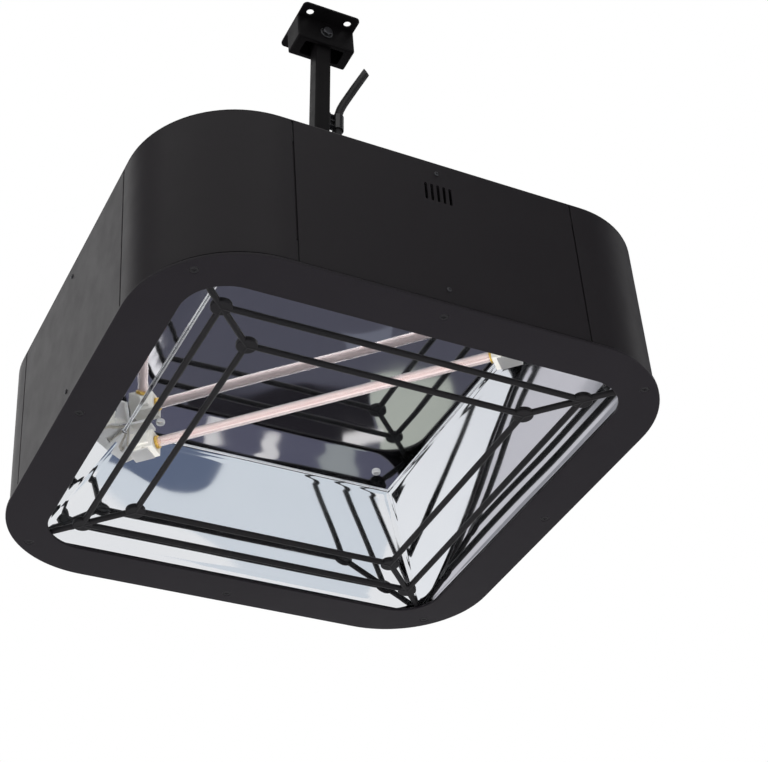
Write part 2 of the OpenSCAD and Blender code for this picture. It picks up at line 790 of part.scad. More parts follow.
module lamp_collars() {
    color("#c79a2a") on_head() on_lamp_ends() translate([lamp_len / 2, 0, lamp_z]) rotate([0, 90, 0])
        cylinder(d = lamp_d + 3, h = collar_len);
}

module lamp_caps() {
    color("#e8e2d6") on_head() on_lamp_ends() translate([cap_at, -cap_w / 2, lamp_z - cap_w / 2]) {
        cube([cap_len, cap_w, cap_w]);
        translate([4, -2.5, 4]) cube([cap_len - 8, cap_w + 5, cap_w - 8]);
    }
}

module lamp_brackets() {
    color(steel) on_head() on_lamp_ends() difference() {
        union() {
            translate([cap_end, -bracket_w / 2, shelf_z])
                cube([bracket_t, bracket_w, reflector_top_z - shelf_z]);
            for (z = [shelf_z, reflector_top_z - bracket_t]) translate([cap_at + 5, -bracket_w / 2, z])
                cube([cap_len - 5 + bracket_t, bracket_w, bracket_t]);
        }
        translate([cap_end - 1, 0, lamp_z]) rotate([0, 90, 0]) cylinder(r = lead_hole_r, h = bracket_t + 2);
    }
}

module lamp_leads() {
    color("#d9d2c4") on_head() {
        tube(LEAD_RIGHT, lead_r);
        tube(LEAD_LEFT, lead_r);
    }
}

// Electrics above the heat shield

module terminal_block() {
    color("#dcd9d0") on_head() difference() {
        translate([block_x - block_w / 2, block_y - block_len / 2, shield_top])
            cube([block_w, block_len, block_h]);
        for (k = [-1, 0, 1]) translate([block_x, block_y + k * 12, shield_top + block_h - 3])
            cylinder(r = 2.6, h = 4);
    }
}

module at_standoffs() {
    x = board_w / 2 - standoff_inset;
    y = board_len / 2 - standoff_inset;
    for (side = [-1, 1], end = [-1, 1]) translate([board_x + side * x, board_y + end * y]) children();
}

module board_standoffs() {
    color("#e6e6e0") on_head() translate([0, 0, shield_top]) at_standoffs() cylinder(r = 3.5, h = standoff_h);
}

module control_board() {
    color("#2f6b45") on_head() translate([board_x, board_y, shield_top + standoff_h]) union() {
        translate([-board_w / 2, -board_len / 2, 0]) cube([board_w, board_len, board_t]);
        translate([relay_at[0], relay_at[1], board_t / 2]) cube(relay);
        translate([transformer_at[0], transformer_at[1], board_t / 2]) cube(transformer);
        translate([capacitor_at[0], capacitor_at[1], board_t / 2]) cylinder(r = capacitor_r, h = capacitor_h);
    }
}

// A shallow tray behind the vent slots, which holds the remote control's receiver
module receiver() {
    color(black_steel) on_head() translate([0, -head_w / 2 + sheet_t, vent_z]) difference() {
        translate([-receiver_w / 2, 0, -receiver_h / 2]) cube([receiver_w, receiver_d, receiver_h]);
        translate([-receiver_w / 2 + receiver_wall, -receiver_wall, -receiver_h / 2 + receiver_wall])
            cube([receiver_w - 2 * receiver_wall, receiver_d, receiver_h - 2 * receiver_wall]);
    }
}

module inner_cord() {
    color(cord_black) on_head() tube(INNER_CORD, inner_cord_r, 12);
}

ceiling_plate();
bracket_box();
pivot_bolt();
pivot_nut();
pivot_washers();
pivot_spacers();
pole();
pole_sleeve(0);  // pivot_sleeve
pole_sleeve(-pole_span);  // tilt_sleeve
cord_clip();
clip_screw();
cord_riser();
cord_tail();
yoke();
yoke_bolts();
tilt_bolt();
tilt_nut();
tilt_washers();
cord_gland();
gland_nut();
top_cover();
top_screws();
top_frame();
base_frame();
flat_panel(0, vents = true);  // front_panel
flat_panel(90);  // right_panel
flat_panel(180);  // back_panel
flat_panel(270);  // left_panel
corner_piece(0);  // corner_front_left
corner_piece(90);  // corner_front_right
corner_piece(180);  // corner_back_right
corner_piece(270);  // corner_back_left
panel_screws();
bezel();
bezel_screws();
rod_square(grille_outer_at);  // grille_outer
rod_square(grille_inner_at);  // grille_inner
grille_spokes();
grille_hubs();
reflector_top();
reflector_side(0);  // reflector_front
reflector_side(90);  // reflector_right
reflector_side(180);  // reflector_back
reflector_side(270);  // reflector_left
reflector_screws();
shield_spacers();
heat_shield();
shield_nuts();
lamp_tube();
filament();
lamp_collars();
lamp_caps();
lamp_brackets();
lamp_leads();
terminal_block();
control_board();
board_standoffs();
receiver();
inner_cord();
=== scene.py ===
"""Looks of the hanging patio heater: coated head, mirror reflector, quartz lamp, pole and cord."""

import json
import math

import bmesh
import bpy
from mathutils import Matrix, Vector, noise


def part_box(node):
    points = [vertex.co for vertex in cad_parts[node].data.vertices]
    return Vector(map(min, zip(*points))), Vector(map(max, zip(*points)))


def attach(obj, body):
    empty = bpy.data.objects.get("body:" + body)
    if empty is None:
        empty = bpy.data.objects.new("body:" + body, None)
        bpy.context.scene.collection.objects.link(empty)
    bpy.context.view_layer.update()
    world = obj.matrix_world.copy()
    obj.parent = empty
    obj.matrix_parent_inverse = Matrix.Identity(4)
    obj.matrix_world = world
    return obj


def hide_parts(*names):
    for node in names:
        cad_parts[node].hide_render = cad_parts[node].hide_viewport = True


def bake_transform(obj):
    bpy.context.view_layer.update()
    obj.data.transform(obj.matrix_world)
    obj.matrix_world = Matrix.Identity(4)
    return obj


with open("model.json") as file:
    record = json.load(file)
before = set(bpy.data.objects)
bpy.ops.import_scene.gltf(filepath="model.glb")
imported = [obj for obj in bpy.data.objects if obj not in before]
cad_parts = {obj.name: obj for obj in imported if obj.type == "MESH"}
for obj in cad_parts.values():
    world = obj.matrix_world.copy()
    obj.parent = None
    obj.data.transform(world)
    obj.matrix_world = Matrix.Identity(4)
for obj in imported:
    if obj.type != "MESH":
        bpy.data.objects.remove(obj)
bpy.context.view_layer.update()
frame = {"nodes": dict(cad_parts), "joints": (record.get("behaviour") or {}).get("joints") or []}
nodes = frame["nodes"]
joints = {joint["name"]: joint for joint in frame["joints"]}

# Frames that pieces are drawn in: the head's middle at the bezel's lower face, the upper end of the
# leaning pole, and the frame of the whole heater
bezel_low, bezel_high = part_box("bezel")
HEAD = Matrix.Translation(((bezel_low.x + bezel_high.x) / 2, 0, bezel_low.z))
pivot = Vector(joints["bracket_pivot"]["pos_m"])
tilt = Vector(joints["head_tilt"]["pos_m"])
LEAN = math.atan2(pivot.x - tilt.x, pivot.z - tilt.z)
POLE = Matrix.Translation(pivot) @ Matrix.Rotation(LEAN, 4, "Y")
AS_DRAWN = Matrix.Identity(4)

# All sizes are in metres. Points closer than the first are merged, and places within the second
# count as one height
MERGE = 1e-6
NEAR = 1e-5

# How far a cutter reaches past a thin sheet and past a thick piece
OVER = 0.001
THROUGH = 0.01

# The head's shell: its seams, screws and vent slots, and the strips behind the seams
HALF = 0.25
HEAD_H = 0.168
CORNER_R = 0.1
SHEET = 0.0015
COVER_Z = HEAD_H - SHEET
PANEL_Z = 0.006
SEAM = 0.1385
SEAM_GAP = 0.0016
STRIP_HALF = 0.011
PANEL_SCREWS = (0.02, 0.154)
COVER_SCREW_X = 0.12
COVER_SCREW_SIDE = 0.238
VENT_PITCH = 0.006
VENT_HALF = 0.0014
VENT_LOW = 0.1205
VENT_HIGH = 0.1405

# The bezel and the grille
BEZEL_T = 0.003
BEZEL_HALF = 0.253
OPENING = 0.209
OPENING_R = 0.042
BEZEL_SCREW_SIDE = 0.237
BEZEL_SCREW_CORNER = HALF - CORNER_R + (CORNER_R - 0.0088) / math.sqrt(2)
ROD_R = 0.003
ROD_Z = 0.006
HUB_R = 0.0095
HUB_HALF_T = 0.0027
GRILLE_OUTER = 0.1746
GRILLE_INNER = 0.1355
SPOKE_END = 0.2888

# The reflector: its top plate, rim and screws, and the waves, beads and rolled edge of its sheets
REFLECTOR_TOP_Z = 0.103
REFLECTOR_TOP = 0.146
RIM_Z = 0.0045
RIM = 0.2095
MIRROR_T = 0.0008
MIRROR_SCREW = 0.118
DEEP_WAVE = 0.0005
FINE_WAVE = 0.00012
CROWN = 0.0003
BEAD = 0.0001
ROLL_R = 0.0009

# The lamp: tube, white coat, coil and its tails, collars and caps
LAMP_Z = 0.08
LAMP_HALF = 0.168
TUBE_R = 0.005
TUBE_WALL = 0.001
COAT_R = 0.0039
COIL_R = 0.0012
WIRE_R = 0.00028
TAIL_R = 0.0004
COLLAR = 0.003
CAP_LEN = 0.024
CAP_W = 0.02

# The ceiling bracket, the pole and the hinges
PLATE_HALF = 0.0345
PLATE_T = 0.0025
PLATE_R = 0.005
ANCHOR = 0.023
ANCHOR_R = 0.00425
BOX_D = 0.0305
BOX_T = 0.002
BOX_LOW = -0.0355
FOLD_R = 0.0022
POLE_HALF = 0.009
POLE_T = 0.0015
POLE_REACH = 0.399
POLE_PAST = 0.008
SLEEVE_R = 0.00498
CLIP_AT = -0.124
PAD_T = 0.002
HEX_R = 0.0062
BOLT_R = 0.003
BOLT_PAST = 0.0075
WASHER_T = 0.0012
YOKE_SEAT = 0.013


# Working in Blender as by hand

def only(*objs):
    bpy.ops.object.select_all(action="DESELECT")
    for obj in objs:
        obj.select_set(True)
    bpy.context.view_layer.objects.active = objs[-1]


def named(name):
    obj = bpy.context.object
    obj.name = name
    obj.data.name = name
    bpy.ops.object.transform_apply(location=True, rotation=True, scale=True)
    return obj


def edit(obj):
    only(obj)
    bpy.ops.object.mode_set(mode="EDIT")


def done():
    bpy.ops.object.mode_set(mode="OBJECT")


def choose(obj, kind, test):
    """Selects, in edit mode, the VERT, EDGE or FACE items of obj for which test says yes."""
    bpy.ops.mesh.select_mode(type=kind)
    bpy.ops.mesh.select_all(action="DESELECT")
    mesh = bmesh.from_edit_mesh(obj.data)
    items = {"VERT": mesh.verts, "EDGE": mesh.edges, "FACE": mesh.faces}[kind]
    for item in items:
        if test(item):
            item.select_set(True)
    mesh.select_flush_mode()
    bmesh.update_edit_mesh(obj.data)


def middle(item):
    points = [v.co for v in item.verts]
    return sum(points, Vector()) / len(points)


def block(name, low, high):
    low, high = Vector(low), Vector(high)
    bpy.ops.mesh.primitive_cube_add(size=1, location=(low + high) / 2, scale=high - low)
    return named(name)


def rod(name, start, end, radius, sides=32, end_radius=None):
    start, end = Vector(start), Vector(end)
    turn = (end - start).to_track_quat("Z", "Y").to_euler()
    bpy.ops.mesh.primitive_cone_add(
        vertices=sides,
        radius1=radius,
        radius2=radius if end_radius is None else end_radius,
        depth=(end - start).length,
        location=(start + end) / 2,
        rotation=turn,
    )
    return named(name)


def rounded_square(name, half, radius, z, steps=24):
    """A flat face with rounded corners."""
    bpy.ops.mesh.primitive_plane_add(size=2 * half, location=(0, 0, z))
    obj = named(name)
    edit(obj)
    bpy.ops.mesh.select_all(action="SELECT")
    bpy.ops.mesh.bevel(offset=radius, segments=steps, affect="VERTICES", profile=0.5)
    bpy.ops.mesh.remove_doubles(threshold=MERGE)
    done()
    return obj


def join(name, objs):
    only(*objs)
    if len(objs) > 1:
        bpy.ops.object.join()
    obj = bpy.context.object
    obj.name = name
    obj.data.name = name
    return obj


def copy_of(obj, name, matrix):
    twin = obj.copy()
    twin.data = obj.data.copy()
    twin.name = name
    twin.data.transform(matrix)
    bpy.context.scene.collection.objects.link(twin)
    return twin


def scatter(master, name, matrices):
    """One piece made of a copy of master at each matrix; master itself goes."""
    copies = [copy_of(master, name, matrix) for matrix in matrices]
    bpy.data.objects.remove(master)
    return join(name, copies)


def apply(obj, modifier):
    only(obj)
    bpy.ops.object.modifier_apply(modifier=modifier.name)


def combine(obj, other, operation):
    change = obj.modifiers.new(operation, "BOOLEAN")
    change.operation = operation
    change.solver = "EXACT"
    change.object = other
    apply(obj, change)
    bpy.data.objects.remove(other)
    return obj


def cut(obj, cutter):
    return combine(obj, cutter, "DIFFERENCE")


def soften(obj, width, steps=2, angle=35):
    bevel = obj.modifiers.new("soft edges", "BEVEL")
    bevel.width = width
    bevel.segments = steps
    bevel.limit_method = "ANGLE"
    bevel.angle_limit = math.radians(angle)
    bevel.use_clamp_overlap = True
    apply(obj, bevel)
    return obj


def thicken(obj, thickness, offset):
    wall = obj.modifiers.new("wall", "SOLIDIFY")
    wall.thickness = thickness
    wall.offset = offset
    apply(obj, wall)
    return obj


def point_outwards(obj):
    edit(obj)
    bpy.ops.mesh.select_all(action="SELECT")
    bpy.ops.mesh.remove_doubles(threshold=MERGE)
    bpy.ops.mesh.normals_make_consistent(inside=False)
    done()
    return obj


def round_edges(obj, radius, steps, test):
    """Bevels the edges of obj for which test says yes."""
    edit(obj)
    choose(obj, "EDGE", test)
    bpy.ops.mesh.bevel(offset=radius, segments=steps, affect="EDGES", profile=0.5)
    done()
    return obj


def dressed(node, width, steps=2):
    """A merged copy of a CAD node, with its sharp edges softened."""
    obj = nodes[node].copy()
    obj.data = nodes[node].data.copy()
    obj.parent = None
    for key in list(obj.keys()):
        del obj[key]
    obj.name = node + "_dressed"
    bpy.context.scene.collection.objects.link(obj)
    edit(obj)
    bpy.ops.mesh.select_all(action="SELECT")
    bpy.ops.mesh.remove_doubles(threshold=2 * MERGE)
    bpy.ops.mesh.dissolve_limited(angle_limit=math.radians(0.5))
    done()
    return soften(obj, width, steps)


def keep(obj, body, material, replaced=(), place=AS_DRAWN, angle=35, level=True):
    """Moves a finished piece from its own frame to its place, on its body, with its finish."""
    obj.data.transform(place)
    only(obj)
    bpy.ops.object.shade_smooth_by_angle(angle=math.radians(angle))
    if level:
        shading = obj.modifiers.new("level faces", "WEIGHTED_NORMAL")
        shading.keep_sharp = True
        apply(obj, shading)
    obj.data.materials.clear()
    obj.data.materials.append(material)
    if body:
        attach(obj, body)
    if replaced:
        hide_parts(*replaced)
    return obj


def quarter(turn):
    return Matrix.Rotation(math.radians(90 * turn), 4, "Z")


# Finishes

def new_material(name):
    material = bpy.data.materials.new(name)
    material.use_nodes = True
    tree = material.node_tree
    shader = tree.nodes["Principled BSDF"]
    where = tree.nodes.new("ShaderNodeTexCoord")
    return material, tree, shader, where.outputs["Object"]


def grain(tree, where, scale, detail=2.0, rough=0.5, stretch=None):
    if stretch:
        mapping = tree.nodes.new("ShaderNodeMapping")
        mapping.inputs["Scale"].default_value = stretch
        tree.links.new(where, mapping.inputs["Vector"])
        where = mapping.outputs["Vector"]
    pattern = tree.nodes.new("ShaderNodeTexNoise")
    pattern.inputs["Scale"].default_value = scale
    pattern.inputs["Detail"].default_value = detail
    pattern.inputs["Roughness"].default_value = rough
    tree.links.new(where, pattern.inputs["Vector"])
    return pattern.outputs["Fac"]


def spread(tree, value, low, high):
    ramp = tree.nodes.new("ShaderNodeMapRange")
    ramp.inputs["From Min"].default_value = 0.3
    ramp.inputs["From Max"].default_value = 0.7
    ramp.inputs["To Min"].default_value = low
    ramp.inputs["To Max"].default_value = high
    tree.links.new(value, ramp.inputs["Value"])
    return ramp.outputs["Result"]


def blend_colours(tree, value, first, second):
    ramp = tree.nodes.new("ShaderNodeValToRGB")
    ramp.color_ramp.elements[0].position = 0.3
    ramp.color_ramp.elements[0].color = (*first, 1)
    ramp.color_ramp.elements[1].position = 0.7
    ramp.color_ramp.elements[1].color = (*second, 1)
    tree.links.new(value, ramp.inputs["Fac"])
    return ramp.outputs["Color"]


def add_bump(tree, shader, height, strength, distance):
    bump = tree.nodes.new("ShaderNodeBump")
    bump.inputs["Strength"].default_value = strength
    bump.inputs["Distance"].default_value = distance
    tree.links.new(height, bump.inputs["Height"])
    tree.links.new(bump.outputs["Normal"], shader.inputs["Normal"])


def painted(name, dark, light, rough, texture, gloss=0.35):
    """Powder coat: a fine orange peel, with slow drifts of tone and gloss."""
    material, tree, shader, where = new_material(name)
    tone = grain(tree, where, 7.0, 3.0)
    tree.links.new(blend_colours(tree, tone, dark, light), shader.inputs["Base Color"])
    sheen = grain(tree, where, 38.0, 4.0, 0.6)
    tree.links.new(spread(tree, sheen, rough[0], rough[1]), shader.inputs["Roughness"])
    shader.inputs["Specular IOR Level"].default_value = gloss
    add_bump(tree, shader, grain(tree, where, texture, 2.0), 0.3, 0.00012)
    return material


def metal(name, dark, light, rough, scale=60.0, stretch=None, strength=0.03):
    material, tree, shader, where = new_material(name)
    shader.inputs["Metallic"].default_value = 1.0
    tone = grain(tree, where, scale, 4.0, 0.6, stretch)
    tree.links.new(blend_colours(tree, tone, dark, light), shader.inputs["Base Color"])
    wear = grain(tree, where, scale * 3, 3.0, 0.6, stretch)
    tree.links.new(spread(tree, wear, rough[0], rough[1]), shader.inputs["Roughness"])
    add_bump(tree, shader, wear, strength, 0.00005)
    return material


def plain(name, dark, light, rough, scale=90.0, gloss=0.5, strength=0.15, distance=0.0001):
    material, tree, shader, where = new_material(name)
    tone = grain(tree, where, scale, 3.0)
    tree.links.new(blend_colours(tree, tone, dark, light), shader.inputs["Base Color"])
    fine = grain(tree, where, scale * 9, 2.0)
    tree.links.new(spread(tree, fine, rough[0], rough[1]), shader.inputs["Roughness"])
    shader.inputs["Specular IOR Level"].default_value = gloss
    add_bump(tree, shader, fine, strength, distance)
    return material


def quartz_glass():
    """Milky quartz with the rose tint of a heating lamp, through which the coil still shows."""
    material, tree, shader, where = new_material("quartz_tube")
    haze = grain(tree, where, 130.0, 3.0)
    tree.links.new(
        blend_colours(tree, haze, (0.97, 0.87, 0.86), (0.985, 0.91, 0.9)), shader.inputs["Base Color"]
    )
    tree.links.new(spread(tree, haze, 0.05, 0.12), shader.inputs["Roughness"])
    shader.inputs["Transmission Weight"].default_value = 0.8
    shader.inputs["IOR"].default_value = 1.46
    return material


def spangled():
    """Galvanised sheet, with its crystal flowers."""
    material, tree, shader, where = new_material("galvanised_sheet")
    shader.inputs["Metallic"].default_value = 1.0
    cells = tree.nodes.new("ShaderNodeTexVoronoi")
    cells.inputs["Scale"].default_value = 90.0
    tree.links.new(where, cells.inputs["Vector"])
    tree.links.new(
        blend_colours(tree, cells.outputs["Distance"], (0.45, 0.47, 0.49), (0.62, 0.63, 0.64)),
        shader.inputs["Base Color"],
    )
    tree.links.new(spread(tree, grain(tree, where, 200.0), 0.32, 0.5), shader.inputs["Roughness"])
    return material


# Each has its darkest and lightest colour and the range of its roughness, then its grain and gloss
SHELL = painted(
    "shell_powder_coat", (0.0088, 0.0073, 0.0088), (0.0098, 0.0083, 0.0098), (0.4, 0.46), 1500.0, 0.16
)
BEZEL = painted(
    "bezel_powder_coat", (0.0085, 0.007, 0.0092), (0.0105, 0.0088, 0.0112), (0.38, 0.46), 1700.0, 0.16
)
GRILLE = painted("grille_enamel", (0.004, 0.004, 0.005), (0.008, 0.007, 0.008), (0.4, 0.55), 1300.0, 0.2)
BRACKET = painted(
    "bracket_powder_coat", (0.003, 0.0026, 0.003), (0.0045, 0.004, 0.0045), (0.42, 0.56), 1500.0, 0.07
)
DARK_INSIDE = painted(
    "frame_powder_coat", (0.012, 0.012, 0.013), (0.017, 0.017, 0.018), (0.5, 0.65), 1300.0
)
MIRROR = metal("mirror_polish", (0.86, 0.875, 0.9), (0.9, 0.91, 0.925), (0.015, 0.05), 4.0, None, 0.02)
ZINC = metal("zinc_plate", (0.66, 0.67, 0.68), (0.72, 0.72, 0.72), (0.26, 0.32), 45.0, None, 0.008)
DULL_ZINC = metal("dull_zinc", (0.1, 0.1, 0.105), (0.15, 0.15, 0.155), (0.4, 0.52), 90.0)
BLACK_OXIDE = metal("black_oxide", (0.045, 0.045, 0.05), (0.075, 0.075, 0.08), (0.3, 0.48), 220.0)
SCREW_BLACK = painted("screw_black", (0.005, 0.0045, 0.0055), (0.008, 0.007, 0.0085), (0.4, 0.55), 900.0)
LAMP_PLATE = metal(
    "lamp_bracket_plate", (0.8, 0.79, 0.77), (0.86, 0.85, 0.83), (0.34, 0.46), 40.0, None, 0.008
)
SHIELD = spangled()
BRASS = metal("collar_gilt", (0.78, 0.5, 0.1), (0.95, 0.66, 0.2), (0.22, 0.38), 200.0)
WIRE = metal("heating_wire", (0.5, 0.27, 0.25), (0.66, 0.4, 0.37), (0.35, 0.5), 400.0)
WHITE_COAT = plain("white_lamp_coat", (0.93, 0.87, 0.86), (0.96, 0.92, 0.91), (0.6, 0.75), 200.0, 0.3)
QUARTZ = quartz_glass()
CERAMIC = plain("lamp_ceramic", (0.93, 0.9, 0.82), (0.97, 0.95, 0.89), (0.45, 0.62), 160.0, 0.35)
RUBBER = plain("cord_sheath", (0.008, 0.008, 0.009), (0.014, 0.013, 0.014), (0.4, 0.55), 70.0, 0.2)
NYLON = plain("black_nylon", (0.018, 0.018, 0.019), (0.028, 0.028, 0.029), (0.4, 0.55), 120.0, 0.45)
CLIP_BLACK = plain(
    "clip_gloss", (0.007, 0.007, 0.008), (0.012, 0.012, 0.013), (0.14, 0.24), 60.0, 0.5, 0.04
)
SLEEVING = plain(
    "lead_sleeving", (0.6, 0.56, 0.48), (0.74, 0.7, 0.62), (0.7, 0.85), 500.0, 0.3, 0.5, 0.0003
)
BLOCK = plain("block_plastic", (0.6, 0.58, 0.53), (0.7, 0.68, 0.62), (0.45, 0.6), 150.0)
BOARD = plain("board_laminate", (0.02, 0.11, 0.05), (0.035, 0.16, 0.07), (0.25, 0.4), 60.0, 0.5, 0.05)

# Camera at the photograph's place and angle
AZIMUTH = math.radians(29.13)
ELEVATION = math.radians(37.4)
ROLL = math.radians(-4.59)
LENS = 85.2
EYE_FROM_HEAD = (-0.6203, -1.2388, -0.9614)
look = Vector((
    math.sin(AZIMUTH) * math.cos(ELEVATION),
    math.cos(AZIMUTH) * math.cos(ELEVATION),
    math.sin(ELEVATION),
))
sideways = look.cross(Vector((0, 0, 1))).normalized()
rise = sideways.cross(look)
across = math.cos(ROLL) * sideways + math.sin(ROLL) * rise
upright = -math.sin(ROLL) * sideways + math.cos(ROLL) * rise
eye = HEAD @ Vector(EYE_FROM_HEAD)
bpy.ops.object.camera_add()
camera = bpy.context.object
camera.name = "camera"
camera.data.sensor_width = 36
camera.data.lens = LENS
camera.data.clip_start = 0.05
camera.data.clip_end = 60
camera.matrix_world = Matrix.Translation(eye) @ Matrix((across, upright, -look)).transposed().to_4x4()
bpy.context.scene.camera = camera


# The supply cord: the same route as its solids, from the gland up through the clip to the cut end,
# as x and z in millimetres
ROUTE = [
    (10.3, -418.7), (10.3, -401), (10.3, -383), (10.3, -365), (10.3, -347), (10.3, -329),
    (10.3, -311), (10.3, -293), (10.4, -275), (10.6, -257), (10.8, -239), (11.2, -221),
    (11.8, -198), (12.4, -177.3), (13.5, -160.5), (14.6, -143.7), (15.4, -132.6), (17.9, -122.4),
    (21.3, -113.4), (25.6, -104), (30.3, -94.4), (35.2, -84.4), (40.2, -74.3), (45.3, -64.2),
    (50.4, -54.1), (57, -41),
]
CORD_R = 0.00473
SHEATH = 0.0014
HOLLOW = 0.001
CORE_R = 0.0014
CORE_FROM_AXIS = 0.00175

# The slant of the cut end, how far it starts back from the route's end, and the reach of its face
CUT = (0.82 * across + 0.574 * upright).normalized()
CUT_BACK = 0.003
CUT_REACH = 0.003


def snip(obj, place):
    """Cuts obj along the slanting plane of the cord's end and closes it."""
    edit(obj)
    bpy.ops.mesh.select_all(action="SELECT")
    bpy.ops.mesh.bisect(plane_co=place, plane_no=CUT, use_fill=True, clear_outer=True)
    done()
    return obj


def supply_cord():
    path = [Vector((x, 0, z)) * 0.001 for x, z in ROUTE]
    length = sum((b - a).length for a, b in zip(path, path[1:]))
    bpy.ops.curve.primitive_bezier_curve_add()
    curve = bpy.context.object
    spline = curve.data.splines[0]
    spline.bezier_points.add(len(path) - 2)
    for point, place in zip(spline.bezier_points, path):
        point.co = place
        point.handle_left_type = "AUTO"
        point.handle_right_type = "AUTO"
    curve.data.resolution_u = 4
    curve.data.bevel_depth = CORD_R
    curve.data.bevel_resolution = 6
    curve.data.use_fill_caps = True
    only(curve)
    bpy.ops.object.convert(target="MESH")
    cord = point_outwards(named("supply_cord"))
    # The cut end, snipped on a slant: a wall of sheath round a shallow hollow where the cores show
    along = (path[-1] - path[-2]).normalized()
    end = path[-1] - CUT_BACK * along
    point_outwards(snip(cord, end))
    edit(cord)
    choose(
        cord, "FACE", lambda f: abs(f.normal.dot(CUT)) > 0.99 and (middle(f) - end).length < CUT_REACH
    )
    bpy.ops.mesh.inset(thickness=SHEATH)
    bpy.ops.mesh.extrude_region_move(TRANSFORM_OT_translate={"value": -HOLLOW * along})
    done()
    keep(cord, None, RUBBER, ["cord_riser", "cord_tail"])
    return cord, path, length


cord, cord_path, cord_length = supply_cord()
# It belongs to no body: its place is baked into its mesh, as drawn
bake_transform(cord)


def cord_cores():
    """The three insulated cores that show in the cut end."""
    along = (cord_path[-1] - cord_path[-2]).normalized()
    end = cord_path[-1] - CUT_BACK * along
    side = Vector((0, 1, 0))
    up = along.cross(side)
    pieces = []
    for k in range(3):
        angle = math.radians(90 + 120 * k)
        place = end + CORE_FROM_AXIS * (math.cos(angle) * side + math.sin(angle) * up)
        core = rod("core", place - 0.009 * along, place + 0.008 * along, CORE_R, 20)
        pieces.append(snip(core, end - 0.0004 * along))
    cores = soften(join("cord_cores", pieces), 0.0001, 1)
    keep(cores, "pole", NYLON)


cord_cores()


# Screws and bolts

def cross_screw(radius, height, shaft_r, shaft_len, sunk=False):
    """A screw with a cross recess, its head's seat at z = 0 and its shaft below."""
    head = rod("screw", (0, 0, 0), (0, 0, height), radius, 28)
    if not sunk:
        round_edges(head, height * 0.75, 4, lambda e: middle(e).z > height * 0.99)
    arms = []
    reach, half, bottom = radius * 0.52, radius * 0.11, height * 0.45
    for turn in (20, 110):
        arm = block("arm", (-reach, -half, bottom), (reach, half, height * 2))
        arm.data.transform(Matrix.Rotation(math.radians(turn), 4, "Z"))
        arms.append(arm)
    cross = combine(arms[0], arms[1], "UNION")
    cut(head, cross)
    shaft = rod("shaft", (0, 0, -shaft_len), (0, 0, 0.0001), shaft_r, 20)
    screw = join("screw", [head, shaft])
    return soften(screw, 0.00012, 1, 40)


def hex_piece(name, radius, height, hole=None):
    """A hexagon bolt head or nut with chamfered corners, seat at z = 0."""
    obj = rod(name, (0, 0, 0), (0, 0, height), radius, 6)
    turned = rod("turned", (0, 0, -OVER), (0, 0, height + OVER), radius * 1.02, 48)
    round_edges(turned, radius * 0.26 + OVER, 1, lambda e: middle(e).z > height)
    combine(obj, turned, "INTERSECT")
    if hole:
        cut(obj, rod("hole", (0, 0, -OVER), (0, 0, height + OVER), hole, 32))
    return soften(obj, 0.00025, 2, 25)


def along_y(place, outwards):
    """Turns a piece drawn along +Z to point along +Y or -Y, at a place."""
    return Matrix.Translation(place) @ Matrix.Rotation(math.radians(-90 * outwards), 4, "X")


def hinge_hardware(place, seat, body, bolt_node, nut_node):
    """A hinge's bolt and nut, whose heads sit at seat on either side of place."""
    front = place + Vector((0, -seat, 0))
    head = copy_of(hex_master, "head", along_y(front, -1))
    shaft = rod("shaft", front, place + Vector((0, seat + BOLT_PAST, 0)), BOLT_R, 32)
    bolt = soften(join(bolt_node + "_turned", [head, shaft]), 0.0002, 1)
    keep(bolt, body, BLACK_OXIDE, [bolt_node])
    nut = hex_piece(nut_node + "_turned", HEX_R, 0.005, BOLT_R + 0.00005)
    nut.data.transform(along_y(place + Vector((0, seat, 0)), 1))
    keep(nut, body, BLACK_OXIDE, [nut_node])


hex_master = hex_piece("hex_master", HEX_R, 0.004)
hinge_hardware(pivot, BOX_D / 2 + WASHER_T, "ceiling_mount", "pivot_bolt", "pivot_nut")
hinge_hardware(tilt, YOKE_SEAT, "head", "tilt_bolt", "tilt_nut")
bpy.data.objects.remove(hex_master)


# Ceiling bracket

def ceiling_plate():
    plate = rounded_square("ceiling_plate_pressed", PLATE_HALF, PLATE_R, -PLATE_T, 8)
    edit(plate)
    bpy.ops.mesh.select_all(action="SELECT")
    bpy.ops.mesh.extrude_region_move(TRANSFORM_OT_translate={"value": (0, 0, PLATE_T)})
    done()
    point_outwards(plate)
    for x in (-ANCHOR, ANCHOR):
        for y in (-ANCHOR, ANCHOR):
            cut(plate, rod("hole", (x, y, -THROUGH), (x, y, THROUGH), ANCHOR_R, 40))
    soften(plate, 0.0004, 2)
    keep(plate, "ceiling_mount", BRACKET, ["ceiling_plate"])


def bracket_box():
    low, high = (-PLATE_HALF, -BOX_D / 2, BOX_LOW), (PLATE_HALF, BOX_D / 2, -PLATE_T)
    box = block("bracket_box_folded", low, high)
    edit(box)
    choose(box, "FACE", lambda f: f.normal.z > 0.9)
    bpy.ops.mesh.delete(type="ONLY_FACE")
    done()
    round_edges(box, FOLD_R, 4, lambda e: middle(e).z < -0.004)
    thicken(box, BOX_T, -1)
    slot = block("slot", (-0.0238, -0.01, -0.04), (0.0238, 0.01, -0.02))
    round_edges(slot, 0.003, 4, lambda e: abs(e.verts[0].co.z - e.verts[1].co.z) > 0.01)
    cut(box, slot)
    cut(box, rod("bolt_hole", pivot - Vector((0, 0.03, 0)), pivot + Vector((0, 0.03, 0)), 0.0031, 32))
    soften(box, 0.0003, 2, 50)
    keep(box, "ceiling_mount", BRACKET, ["bracket_box"])


